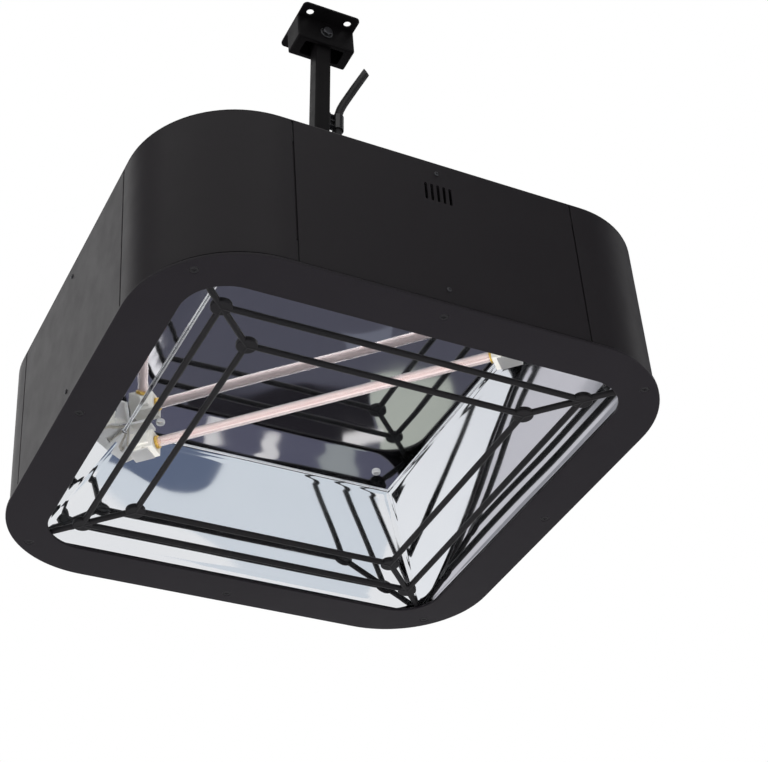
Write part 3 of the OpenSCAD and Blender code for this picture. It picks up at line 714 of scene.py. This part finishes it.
ceiling_plate()
bracket_box()
keep(dressed("pivot_washers", 0.0002, 1), "ceiling_mount", DULL_ZINC, ["pivot_washers"])
keep(dressed("pivot_spacers", 0.0002, 1), "ceiling_mount", NYLON, ["pivot_spacers"])


# Pole

def pole():
    """A square tube, drilled at both hinges for their sleeves."""
    foot = -0.407
    tube = block("pole_tube", (-POLE_HALF, -POLE_HALF, foot), (POLE_HALF, POLE_HALF, POLE_PAST))
    round_edges(tube, FOLD_R, 4, lambda e: abs(e.verts[0].co.z - e.verts[1].co.z) > 0.1)
    edit(tube)
    choose(tube, "FACE", lambda f: abs(f.normal.z) > 0.9)
    bpy.ops.mesh.inset(thickness=POLE_T)
    bpy.ops.mesh.bridge_edge_loops()
    done()
    for z in (0, -POLE_REACH):
        cut(tube, rod("hole", (0, -0.02, z), (0, 0.02, z), SLEEVE_R, 40))
    soften(tube, 0.00025, 1, 50)
    keep(tube, "pole", BRACKET, ["pole"], POLE)


def cord_clip():
    """A moulded sleeve round the cord, with three ribs to a pad screwed to the pole."""
    reach, ring_r, half = 0.022, 0.0065, 0.011
    sleeve = rod("cord_clip_moulded", (reach, 0, CLIP_AT - half), (reach, 0, CLIP_AT + half), ring_r, 48)
    round_edges(sleeve, 0.0006, 3, lambda e: abs(abs(middle(e).z - CLIP_AT) - half) < NEAR)
    for z in (-0.008, 0, 0.008):
        low, high = CLIP_AT + z - 0.001, CLIP_AT + z + 0.001
        combine(sleeve, block("rib", (0.0095, -0.0035, low), (reach - 0.0055, 0.0035, high)), "UNION")
    pad = block("pad", (POLE_HALF, -0.005, CLIP_AT - 0.01), (POLE_HALF + PAD_T, 0.005, CLIP_AT + 0.01))
    round_edges(pad, 0.0018, 3, lambda e: abs(e.verts[0].co.x - e.verts[1].co.x) > 0.001)
    combine(sleeve, pad, "UNION")
    cut(sleeve, rod("bore", (reach, 0, CLIP_AT - 0.02), (reach, 0, CLIP_AT + 0.02), 0.00505, 48))
    soften(sleeve, 0.0003, 2, 40)
    keep(sleeve, "pole", CLIP_BLACK, ["cord_clip"], POLE)


pole()
cord_clip()
clip_screw = cross_screw(0.0022, 0.0012, 0.0012, 0.006)
pad_face = Matrix.Translation((POLE_HALF + PAD_T, 0, CLIP_AT + 0.004))
clip_screw.data.transform(pad_face @ Matrix.Rotation(math.radians(90), 4, "Y"))
clip_screw.name = "clip_screw_turned"
keep(clip_screw, "pole", ZINC, ["clip_screw"], POLE)
for node in ("pivot_sleeve", "tilt_sleeve"):
    keep(dressed(node, 0.0002, 1), "pole", ZINC, [node])


# Yoke and gland on top of the head

def yoke():
    """The yoke with its washers, and four bolts that hold it to the cover from both sides."""
    keep(dressed("yoke", 0.0005, 2), "head", BRACKET, ["yoke"])
    keep(dressed("tilt_washers", 0.00015, 1), "head", NYLON, ["tilt_washers"])
    bolt = hex_piece("yoke_bolt", 0.0057, 0.004)
    nut_z, base_t = -0.0085, 0.003
    lower = copy_of(bolt, "lower", Matrix.Translation((0, 0, nut_z)))
    shaft = rod("shaft", (0, 0, nut_z), (0, 0, 0.001), BOLT_R, 24)
    bolt = join("yoke_bolt", [bolt, lower, shaft])
    places = []
    for x in (-0.013, 0.013):
        for y in (-0.026, 0.026):
            places.append(Matrix.Translation((x, y, HEAD_H + base_t)))
    bolts = scatter(bolt, "yoke_bolts_turned", places)
    keep(bolts, "head", ZINC, ["yoke_bolts"], HEAD)


def gland():
    """A cable gland: hexagon body, grip notches round the dome and a tapered lip."""
    x, z = 0.034, HEAD_H
    body = rod("cord_gland_moulded", (x, 0, z), (x, 0, z + 0.006), 0.011, 6)
    soften(body, 0.0006, 2, 25)
    dome = rod("dome", (x, 0, z + 0.0055), (x, 0, z + 0.019), 0.0095, 48)
    round_edges(dome, 0.0008, 2, lambda e: middle(e).z < z + 0.006)
    tip = rod("tip", (x, 0, z + 0.0188), (x, 0, z + 0.024), 0.0094, 48, 0.0062)
    combine(dome, tip, "UNION")
    for k in range(12):
        turn = math.radians(30 * k)
        side = Vector((x + 0.0101 * math.cos(turn), 0.0101 * math.sin(turn), 0))
        low, high = Vector((0, 0, z + 0.007)), Vector((0, 0, z + 0.03))
        cut(dome, rod("notch", side + low, side + high, 0.0012, 12))
    thread = rod("thread", (x, 0, z - 0.0105), (x, 0, z + 0.0002), 0.008, 40)
    combine(body, dome, "UNION")
    gland_body = combine(body, thread, "UNION")
    cut(gland_body, rod("bore", (x, 0, z - 0.02), (x, 0, z + 0.03), 0.0049, 40))
    soften(gland_body, 0.0003, 2, 40)
    keep(gland_body, "head", NYLON, ["cord_gland"], HEAD)


yoke()
gland()


# Shell of the head

def top_cover():
    cover = rounded_square("top_cover_pressed", HALF, CORNER_R, COVER_Z)
    edit(cover)
    bpy.ops.mesh.select_all(action="SELECT")
    bpy.ops.mesh.extrude_region_move(TRANSFORM_OT_translate={"value": (0, 0, SHEET)})
    done()
    point_outwards(cover)
    round_edges(cover, 0.0012, 3, lambda e: middle(e).z > HEAD_H - NEAR and e.is_manifold)
    keep(cover, "head", SHELL, ["top_cover"], HEAD)
    screw = cross_screw(0.004, 0.0022, 0.002, 0.005)
    spots = []
    for turn in range(4):
        for x in (-COVER_SCREW_X, COVER_SCREW_X):
            spots.append(quarter(turn) @ Matrix.Translation((x, -COVER_SCREW_SIDE, HEAD_H)))
    screws = scatter(screw, "top_screws_turned", spots)
    keep(screws, "head", BLACK_OXIDE, ["top_screws"], HEAD)


def side_panels():
    """Four flat panels with softened edges, one of them with the vent slots."""
    edge = SEAM - SEAM_GAP / 2
    for turn, node in enumerate(("front_panel", "right_panel", "back_panel", "left_panel")):
        panel = block(node + "_pressed", (-edge, -HALF, PANEL_Z), (edge, -HALF + SHEET, COVER_Z))
        if node == "front_panel":
            for k in range(5):
                x = (k - 2) * VENT_PITCH
                low = (x - VENT_HALF, -HALF - THROUGH, VENT_LOW)
                high = (x + VENT_HALF, -HALF + THROUGH, VENT_HIGH)
                slot = block("slot", low, high)
                round_edges(slot, 0.00139, 5, lambda e: abs(e.verts[0].co.y - e.verts[1].co.y) > THROUGH)
                cut(panel, slot)
        for z in PANEL_SCREWS:
            cut(panel, rod("hole", (0, -HALF - THROUGH, z), (0, -HALF + THROUGH, z), 0.0016, 24))
        soften(panel, 0.0009, 3, 50)
        panel.data.transform(quarter(turn))
        keep(panel, "head", SHELL, [node], HEAD)
    screw = cross_screw(0.0023, 0.0012, 0.0015, 0.006)
    spots = []
    for turn in range(4):
        for z in PANEL_SCREWS:
            spots.append(quarter(turn) @ along_y(Vector((0, -HALF, z)), -1))
    screws = scatter(screw, "panel_screws_turned", spots)
    keep(screws, "head", BLACK_OXIDE, ["panel_screws"], HEAD)


def corner_pieces():
    """Rounded corners, each rolled from one sheet, with a wing and a backing strip at each seam."""
    wing = HALF - CORNER_R
    edge = SEAM + SEAM_GAP / 2
    bpy.ops.mesh.primitive_plane_add(size=1, rotation=(math.radians(90), 0, 0))
    corner = named("corner_rolled")
    corner.data.transform(
        Matrix.Translation((-(wing + edge) / 2, -HALF, (PANEL_Z + COVER_Z) / 2))
        @ Matrix.Diagonal((wing - edge, 1, COVER_Z - PANEL_Z, 1))
    )
    edit(corner)
    choose(corner, "EDGE", lambda e: middle(e).x < -wing + MERGE)
    bpy.ops.mesh.spin(steps=28, angle=math.radians(90), center=(-wing, -wing, 0), axis=(0, 0, 1))
    done()
    if min(v.co.x for v in corner.data.vertices) > -HALF + 0.001:
        raise ValueError("the corner was rolled the wrong way")
    edit(corner)
    choose(
        corner, "EDGE", lambda e: middle(e).x < -HALF + MERGE and abs(middle(e).y + wing) < MERGE
    )
    bpy.ops.mesh.extrude_region_move(TRANSFORM_OT_translate={"value": (0, wing - edge, 0)})
    bpy.ops.mesh.select_all(action="SELECT")
    bpy.ops.mesh.remove_doubles(threshold=MERGE)
    done()
    inward = corner.data.polygons[0].normal.y > 0
    thicken(corner, SHEET, 1 if inward else -1)
    point_outwards(corner)
    soften(corner, 0.0006, 2, 50)
    swap_xy = Matrix(((0, 1, 0, 0), (1, 0, 0, 0), (0, 0, 1, 0), (0, 0, 0, 1)))
    strip_low = (-SEAM - STRIP_HALF, -HALF + SHEET, 0.031)
    strip_high = (-SEAM + STRIP_HALF, -HALF + 2 * SHEET, 0.1415)
    names = ("corner_front_left", "corner_front_right", "corner_back_right", "corner_back_left")
    for turn, node in enumerate(names):
        piece = copy_of(corner, node + "_rolled", quarter(turn))
        strips = []
        for flip in (False, True):
            strip = block("strip", strip_low, strip_high)
            if flip:
                strip.data.transform(swap_xy)
                point_outwards(strip)
            strip.data.transform(quarter(turn))
            strips.append(soften(strip, 0.0003, 1))
        piece = join(node + "_rolled", [*strips, piece])
        keep(piece, "head", SHELL, [node], HEAD)
    bpy.data.objects.remove(corner)


top_cover()
side_panels()
corner_pieces()


# Bezel and grille

def bezel():
    """The ring under the head, with a countersunk recess for each of its eight screws."""
    outer = rounded_square("outer", BEZEL_HALF, CORNER_R + 0.003, 0)
    inner = rounded_square("inner", OPENING, OPENING_R, 0)
    ring = join("bezel_pressed", [inner, outer])
    edit(ring)
    bpy.ops.mesh.select_all(action="SELECT")
    bpy.ops.mesh.delete(type="ONLY_FACE")
    bpy.ops.mesh.select_all(action="SELECT")
    bpy.ops.mesh.bridge_edge_loops()
    bpy.ops.mesh.select_all(action="SELECT")
    bpy.ops.mesh.extrude_region_move(TRANSFORM_OT_translate={"value": (0, 0, BEZEL_T)})
    done()
    point_outwards(ring)
    spots = []
    for turn in range(4):
        corner = Matrix.Translation((-BEZEL_SCREW_CORNER, -BEZEL_SCREW_CORNER, 0))
        side = Matrix.Translation((0, -BEZEL_SCREW_SIDE, 0))
        spots += [quarter(turn) @ corner, quarter(turn) @ side]
    for spot in spots:
        cutter = rod("recess", (0, 0, -0.0004), (0, 0, 0.0019), 0.0052, 32, 0.0026)
        cutter.data.transform(spot)
        cut(ring, cutter)
    soften(ring, 0.0007, 3, 50)
    keep(ring, "head", BEZEL, ["bezel"], HEAD)
    screw = cross_screw(0.0042, 0.0012, 0.0025, 0.0075)
    down = Matrix.Translation((0, 0, 0.0015)) @ Matrix.Rotation(math.radians(180), 4, "X")
    screws = scatter(screw, "bezel_screws_turned", [spot @ down for spot in spots])
    keep(screws, "head", SCREW_BLACK, ["bezel_screws"], HEAD)


def grille():
    """Two squares of rods and four spokes, welded to round discs."""
    pieces = []
    for half in (GRILLE_OUTER, GRILLE_INNER):
        for turn in range(4):
            bar = rod("bar", (-half, -half, ROD_Z), (half, -half, ROD_Z), ROD_R, 20)
            bar.data.transform(quarter(turn))
            pieces.append(bar)
            low, high = (half, half, ROD_Z - HUB_HALF_T), (half, half, ROD_Z + HUB_HALF_T)
            hub = rod("hub", low, high, HUB_R, 36)
            round_edges(hub, 0.0012, 3, lambda e: abs(abs(middle(e).z - ROD_Z) - HUB_HALF_T) < NEAR)
            hub.data.transform(quarter(turn))
            pieces.append(hub)
    reach = math.sqrt(0.5)
    for turn in range(4):
        low, high = GRILLE_INNER, SPOKE_END * reach
        spoke = rod("spoke", (low, low, ROD_Z), (high, high, ROD_Z), ROD_R, 20)
        spoke.data.transform(quarter(turn))
        pieces.append(spoke)
    piece = join("grille_welded", pieces)
    replaced = ["grille_outer", "grille_inner", "grille_spokes", "grille_hubs"]
    keep(piece, "head", GRILLE, replaced, HEAD)


bezel()
grille()


# Reflector

def ripple(point, seed, size, depth):
    """One of the slow waves of thin polished sheet, of this size and depth."""
    return depth * noise.noise(point * (1 / size) + Vector((seed, 2.3 * seed, 0.7)))


def crowd(c):
    """Moves evenly spread points from -1 to 1 closer to the two ends."""
    return 1.5 * c - 0.5 * c ** 3


def reflector_side(turn, node):
    """A folded side: slow waves, and a low bead along each cut edge that keeps it straight."""
    bpy.ops.mesh.primitive_grid_add(x_subdivisions=72, y_subdivisions=36, size=2)
    side = named(node + "_folded")
    slope = math.atan2(REFLECTOR_TOP_Z - RIM_Z, RIM - REFLECTOR_TOP)
    length = (REFLECTOR_TOP_Z - ROLL_R - RIM_Z) / math.sin(slope)
    outwards = Vector((0, -math.sin(slope), math.cos(slope)))
    for vertex in side.data.vertices:
        u, t = crowd(vertex.co.x), (crowd(vertex.co.y) + 1) / 2
        at = RIM - t * length * math.cos(slope)
        place = Vector((u * at, -at, RIM_Z + t * length * math.sin(slope)))
        hold = (1 - u ** 4) * 4 * t * (1 - t)
        wave = ripple(place, 3.1 + turn, 0.12, DEEP_WAVE) + ripple(place, 9.4 + turn, 0.06, FINE_WAVE)
        if node == "reflector_left":
            wave *= 0.95 + 0.65 * u
        edge = min((1 - abs(u)) * at * math.sin(slope), t * length, (1 - t) * length)
        bead = BEAD * math.exp(-((edge - 0.0032) / 0.0011) ** 2)
        vertex.co = place + outwards * (hold * (wave + CROWN) - bead)
    thicken(side, MIRROR_T, 1 if side.data.polygons[0].normal.dot(outwards) > 0 else -1)
    side.data.transform(quarter(turn))
    keep(side, "head", MIRROR, [node], HEAD, 60, False)


def reflector_top():
    """The top plate, with a rolled edge that lies against the four sides."""
    size = 2 * (REFLECTOR_TOP + 0.002)
    bpy.ops.mesh.primitive_grid_add(x_subdivisions=64, y_subdivisions=64, size=size)
    top = named("reflector_top_pressed")
    for vertex in top.data.vertices:
        x, y = vertex.co.x / REFLECTOR_TOP, vertex.co.y / REFLECTOR_TOP
        hold = max(0.0, 1 - x ** 4) * max(0.0, 1 - y ** 4)
        wave = ripple(vertex.co, 17.0, 0.14, DEEP_WAVE) + ripple(vertex.co, 5.2, 0.06, FINE_WAVE)
        vertex.co.z = REFLECTOR_TOP_Z + hold * (wave + CROWN)
    thicken(top, MIRROR_T, 1 if top.data.polygons[0].normal.z > 0 else -1)
    rolls = []
    edge, low = REFLECTOR_TOP - 0.0012, REFLECTOR_TOP_Z - 0.0004
    for turn in range(4):
        roll = rod("roll", (-edge, -edge, low), (edge, -edge, low), ROLL_R, 20)
        roll.data.transform(quarter(turn))
        rolls.append(roll)
    top = join("reflector_top_pressed", [*rolls, top])
    keep(top, "head", MIRROR, ["reflector_top"], HEAD, 60, False)
    screw = cross_screw(0.0045, 0.0025, 0.002, 0.0258)
    down = Matrix.Rotation(math.radians(180), 4, "X")
    spots = []
    for x in (-MIRROR_SCREW, MIRROR_SCREW):
        for y in (-MIRROR_SCREW, MIRROR_SCREW):
            spots.append(Matrix.Translation((x, y, REFLECTOR_TOP_Z)) @ down)
    screws = scatter(screw, "reflector_screws_turned", spots)
    keep(screws, "head", ZINC, ["reflector_screws"], HEAD)


MIRROR_SIDES = ("reflector_front", "reflector_right", "reflector_back", "reflector_left")
for number, side_name in enumerate(MIRROR_SIDES):
    reflector_side(number, side_name)
reflector_top()


# Lamp, drawn along +X and turned onto the head's diagonal

LAMP = HEAD @ Matrix.Translation((0, 0, LAMP_Z)) @ Matrix.Rotation(math.radians(-45), 4, "Z")


def lamp_tube():
    tube = rod("quartz_tube", (-LAMP_HALF, 0, 0), (LAMP_HALF, 0, 0), TUBE_R, 48)
    edit(tube)
    choose(tube, "FACE", lambda f: abs(f.normal.x) > 0.9)
    bpy.ops.mesh.inset(thickness=TUBE_WALL)
    bpy.ops.mesh.bridge_edge_loops()
    done()
    point_outwards(tube)
    tube.visible_shadow = False
    keep(tube, "head", QUARTZ, ["lamp_tube"], LAMP, 50)


def white_backing():
    """The white coat on the upper half of the tube's bore, which throws the heat down."""
    reach = LAMP_HALF - 0.001
    half = rod("white_backing", (-reach, 0, 0), (reach, 0, 0), COAT_R, 48)
    edit(half)
    choose(half, "FACE", lambda f: abs(f.normal.x) > 0.9)
    bpy.ops.mesh.delete(type="ONLY_FACE")
    bpy.ops.mesh.select_all(action="SELECT")
    bpy.ops.mesh.bisect(plane_co=(0, 0, -0.0004), plane_no=(0, 0, -1), clear_outer=True)
    done()
    thicken(half, 0.00025, -1)
    keep(half, "head", WHITE_COAT, (), LAMP, 50)


def filament():
    """A fine coil on the tube's axis, with a straight tail to each end."""
    turns, steps = 130, 10
    reach = LAMP_HALF - 0.012
    bpy.ops.curve.primitive_bezier_curve_add()
    coil = bpy.context.object
    coil.data.splines.remove(coil.data.splines[0])
    line = coil.data.splines.new("POLY")
    count = turns * steps
    line.points.add(count)
    for k in range(count + 1):
        angle = 2 * math.pi * k / steps
        x = -reach + 2 * reach * k / count
        line.points[k].co = (x, COIL_R * math.cos(angle), COIL_R * math.sin(angle), 1)
    coil.data.bevel_depth = WIRE_R
    coil.data.bevel_resolution = 1
    coil.data.use_fill_caps = True
    only(coil)
    bpy.ops.object.convert(target="MESH")
    wire = named("filament_coil")
    tails = [
        rod("tail", (-LAMP_HALF, 0, 0), (-reach, COIL_R, 0), TAIL_R, 10),
        rod("tail", (reach, COIL_R, 0), (LAMP_HALF, 0, 0), TAIL_R, 10),
    ]
    keep(join("filament_coil", [*tails, wire]), "head", WIRE, ["filament"], LAMP, 60)


def lamp_ends():
    ends = [AS_DRAWN, Matrix.Rotation(math.radians(180), 4, "Z")]
    collar = rod("collar", (LAMP_HALF, 0, 0), (LAMP_HALF + COLLAR, 0, 0), 0.0065, 40)
    soften(collar, 0.0005, 2)
    collars = scatter(collar, "lamp_collars_spun", ends)
    keep(collars, "head", BRASS, ["lamp_collars"], LAMP)
    start = LAMP_HALF + COLLAR
    cap = block("cap", (start, -CAP_W / 2, -CAP_W / 2), (start + CAP_LEN, CAP_W / 2, CAP_W / 2))
    ears = block("ears", (start + 0.004, -0.0125, -0.006), (start + CAP_LEN - 0.004, 0.0125, 0.006))
    combine(cap, ears, "UNION")
    cut(cap, block("groove", (start + 0.0095, -0.02, -0.02), (start + 0.0115, 0.02, -0.0085)))
    cut(cap, rod("mouth", (start - 0.001, 0, 0), (start + 0.0015, 0, 0), 0.0072, 32, 0.006))
    soften(cap, 0.0009, 3, 40)
    caps = scatter(cap, "lamp_caps_cast", ends)
    keep(caps, "head", CERAMIC, ["lamp_caps"], LAMP)
    keep(dressed("lamp_brackets", 0.0004, 2), "head", LAMP_PLATE, ["lamp_brackets"])


lamp_tube()
white_backing()
filament()
lamp_ends()


# Pieces that keep their CAD shape
KEPT = {
    "top_frame": DARK_INSIDE, "base_frame": DARK_INSIDE, "shield_spacers": ZINC, "shield_nuts": ZINC,
    "heat_shield": SHIELD, "lamp_leads": SLEEVING, "terminal_block": BLOCK, "control_board": BOARD,
    "board_standoffs": BLOCK, "receiver": CLIP_BLACK, "inner_cord": RUBBER, "gland_nut": NYLON,
}
for node, material in KEPT.items():
    nodes[node].data.materials.clear()
    nodes[node].data.materials.append(material)


# Floor and light

def background_rays(tree):
    """1 for the rays that show the background itself: seen directly, in a gloss, or through glass."""
    kind = tree.nodes.new("ShaderNodeLightPath")
    total = kind.outputs["Is Camera Ray"]
    for name in ("Is Glossy Ray", "Is Transmission Ray"):
        either = tree.nodes.new("ShaderNodeMath")
        either.operation = "MAXIMUM"
        tree.links.new(total, either.inputs[0])
        tree.links.new(kind.outputs[name], either.inputs[1])
        total = either.outputs[0]
    return total


def between(tree, factor, low, high):
    level = tree.nodes.new("ShaderNodeMapRange")
    level.inputs["To Min"].default_value = low
    level.inputs["To Max"].default_value = high
    tree.links.new(factor, level.inputs["Value"])
    return level.outputs["Result"]


FLOOR_Z = -3.2
bpy.ops.mesh.primitive_circle_add(vertices=128, radius=50, fill_type="NGON", location=(0, 0, FLOOR_Z))
floor = named("floor")
paper, tree, shader, where = new_material("pale_floor")
tone = grain(tree, where, 0.8, 2.0)
tint = blend_colours(tree, tone, (0.79, 0.79, 0.8), (0.82, 0.82, 0.82))
tree.links.new(tint, shader.inputs["Base Color"])
shader.inputs["Roughness"].default_value = 0.9
shader.inputs["Emission Color"].default_value = (0.97, 0.985, 1, 1)
from_middle = tree.nodes.new("ShaderNodeVectorMath")
from_middle.operation = "LENGTH"
tree.links.new(where, from_middle.inputs[0])
fade = tree.nodes.new("ShaderNodeMapRange")
fade.inputs["From Min"].default_value = 4.5
fade.inputs["From Max"].default_value = 16
fade.inputs["To Min"].default_value = 0.2
fade.inputs["To Max"].default_value = 0.5
tree.links.new(from_middle.outputs["Value"], fade.inputs["Value"])
glow = tree.nodes.new("ShaderNodeMath")
glow.operation = "MULTIPLY"
tree.links.new(background_rays(tree), glow.inputs[0])
tree.links.new(fade.outputs["Result"], glow.inputs[1])
tree.links.new(glow.outputs[0], shader.inputs["Emission Strength"])
floor.data.materials.append(paper)


def reflected_card(name, place, size, colour, round_card=False):
    """A studio card turned to the head, which only the mirror sheet and the gloss of the paint see."""
    turn = (HEAD_MIDDLE - Vector(place)).to_track_quat("Z", "Y").to_euler()
    if round_card:
        bpy.ops.mesh.primitive_circle_add(
            vertices=64, radius=0.5, fill_type="NGON", location=place, rotation=turn
        )
    else:
        bpy.ops.mesh.primitive_plane_add(size=1, location=place, rotation=turn)
    card = bpy.context.object
    card.scale = (*size, 1)
    card.name = name
    bpy.ops.object.transform_apply(location=True, rotation=True, scale=True)
    for ray in ("camera", "diffuse", "transmission", "shadow", "volume_scatter"):
        setattr(card, "visible_" + ray, False)
    felt, _, shader, _ = new_material(name + "_felt")
    shader.inputs["Base Color"].default_value = (*colour, 1)
    shader.inputs["Roughness"].default_value = 0.9
    shader.inputs["Specular IOR Level"].default_value = 0.1
    card.data.materials.append(felt)


HEAD_MIDDLE = HEAD @ Vector((0, 0, LAMP_Z))

# Each card's name, place, size and colour, and whether it is round
CARDS = (
    ("dusk_card", (1.2, 2.62, -2.72), (1.5, 1.35), (0.075, 0.075, 0.1)),
    ("black_card", (1.07, 2.42, -2.43), (0.5, 0.15), (0.012, 0.011, 0.014)),
    ("steel_card", (1.15, 2.04, -2.45), (0.14, 0.08), (0.13, 0.135, 0.17)),
    ("sand_card", (1.29, 2.09, -2.27), (0.19, 0.2), (0.36, 0.38, 0.34)),
    ("light_card", (1.14, 2.1, -2.16), (0.11, 0.04), (0.62, 0.6, 0.6)),
    ("near_card", (0.8, 0.68, -2.6), (1.5, 0.5), (0.08, 0.08, 0.115)),
    ("grey_patch", (0.88, 0.63, -2.46), (0.2, 0.07), (0.24, 0.255, 0.26), True),
    ("glint_left", (0.59, 0.64, -2.46), (0.07, 0.035), (0.6, 0.58, 0.58), True),
    ("glint_right", (0.7, 0.66, -2.46), (0.06, 0.03), (0.6, 0.58, 0.58), True),
    ("haze_card", (0.46, -1.36, -1.2), (0.8, 0.5), (0.56, 0.6, 0.645)),
    ("blue_card", (0.32, -1.22, -1.26), (0.27, 0.14), (0.1, 0.125, 0.19), True),
    ("streak_card", (1.33, 2.38, -2.02), (0.5, 0.13), (0.8, 0.78, 0.8)),
    ("pearl_card", (-2.0, 2.05, -1.12), (1.1, 0.8), (0.28, 0.28, 0.305)),
    ("lilac_card", (-1.88, 1.8, -0.9), (1.0, 0.5), (0.42, 0.415, 0.45)),
    ("silver_card", (-1.85, 1.77, -0.87), (1.0, 0.5), (0.6, 0.59, 0.63)),
    ("shade_right", (2.35, 2.2, -2.7), (1.3, 1.5), (0.06, 0.06, 0.065)),
    ("shade_left", (0.0, 3.1, -2.5), (1.1, 1.5), (0.06, 0.06, 0.065)),
    ("upper_card", (1.3, -1.1, 0.8), (1.8, 1.6), (0.12, 0.12, 0.13)),
    ("right_card", (1.7, 0.9, 0.7), (1.8, 1.6), (0.12, 0.12, 0.13)),
    ("corner_card", (-1.38, 0.65, 0.6), (0.9, 1.5), (0.13, 0.13, 0.135)),
)
for card in CARDS:
    reflected_card(*card)


def lamp_panel(name, place, target, size, level):
    """A soft panel, its level given as the brightness of a white sheet held at the target."""
    bpy.ops.object.light_add(type="AREA", location=place)
    light = bpy.context.object
    light.name = name
    light.data.shape = "RECTANGLE"
    light.data.size, light.data.size_y = size
    gap = Vector(target) - Vector(place)
    light.data.energy = level * math.pi * math.pi * gap.length_squared
    light.rotation_euler = gap.to_track_quat("-Z", "Y").to_euler()
    light.visible_glossy = False
    light.visible_camera = False
    return light


lamp_panel("key_left", (-1.95, 1.95, -0.95), HEAD_MIDDLE, (1.3, 1.3), 0.74)
lamp_panel("fill_below", (-0.26, -1.04, -2.5), HEAD_MIDDLE, (1.6, 1.6), 0.6)
lamp_panel("fill_right", (2.6, 0.8, 0.2), HEAD_MIDDLE, (1.8, 1.8), 0.2)
lamp_panel("fill_back", (-0.6, 2.7, 0.3), HEAD_MIDDLE, (1.8, 1.8), 0.25)

world = bpy.data.worlds.new("studio")
bpy.context.scene.world = world
world.use_nodes = True
sky = world.node_tree
background = sky.nodes["Background"]
background.inputs["Color"].default_value = (1, 1, 1, 1)
sky.links.new(between(sky, background_rays(sky), 0.72, 1.0), background.inputs["Strength"])

bpy.context.scene.view_settings.view_transform = "Standard"
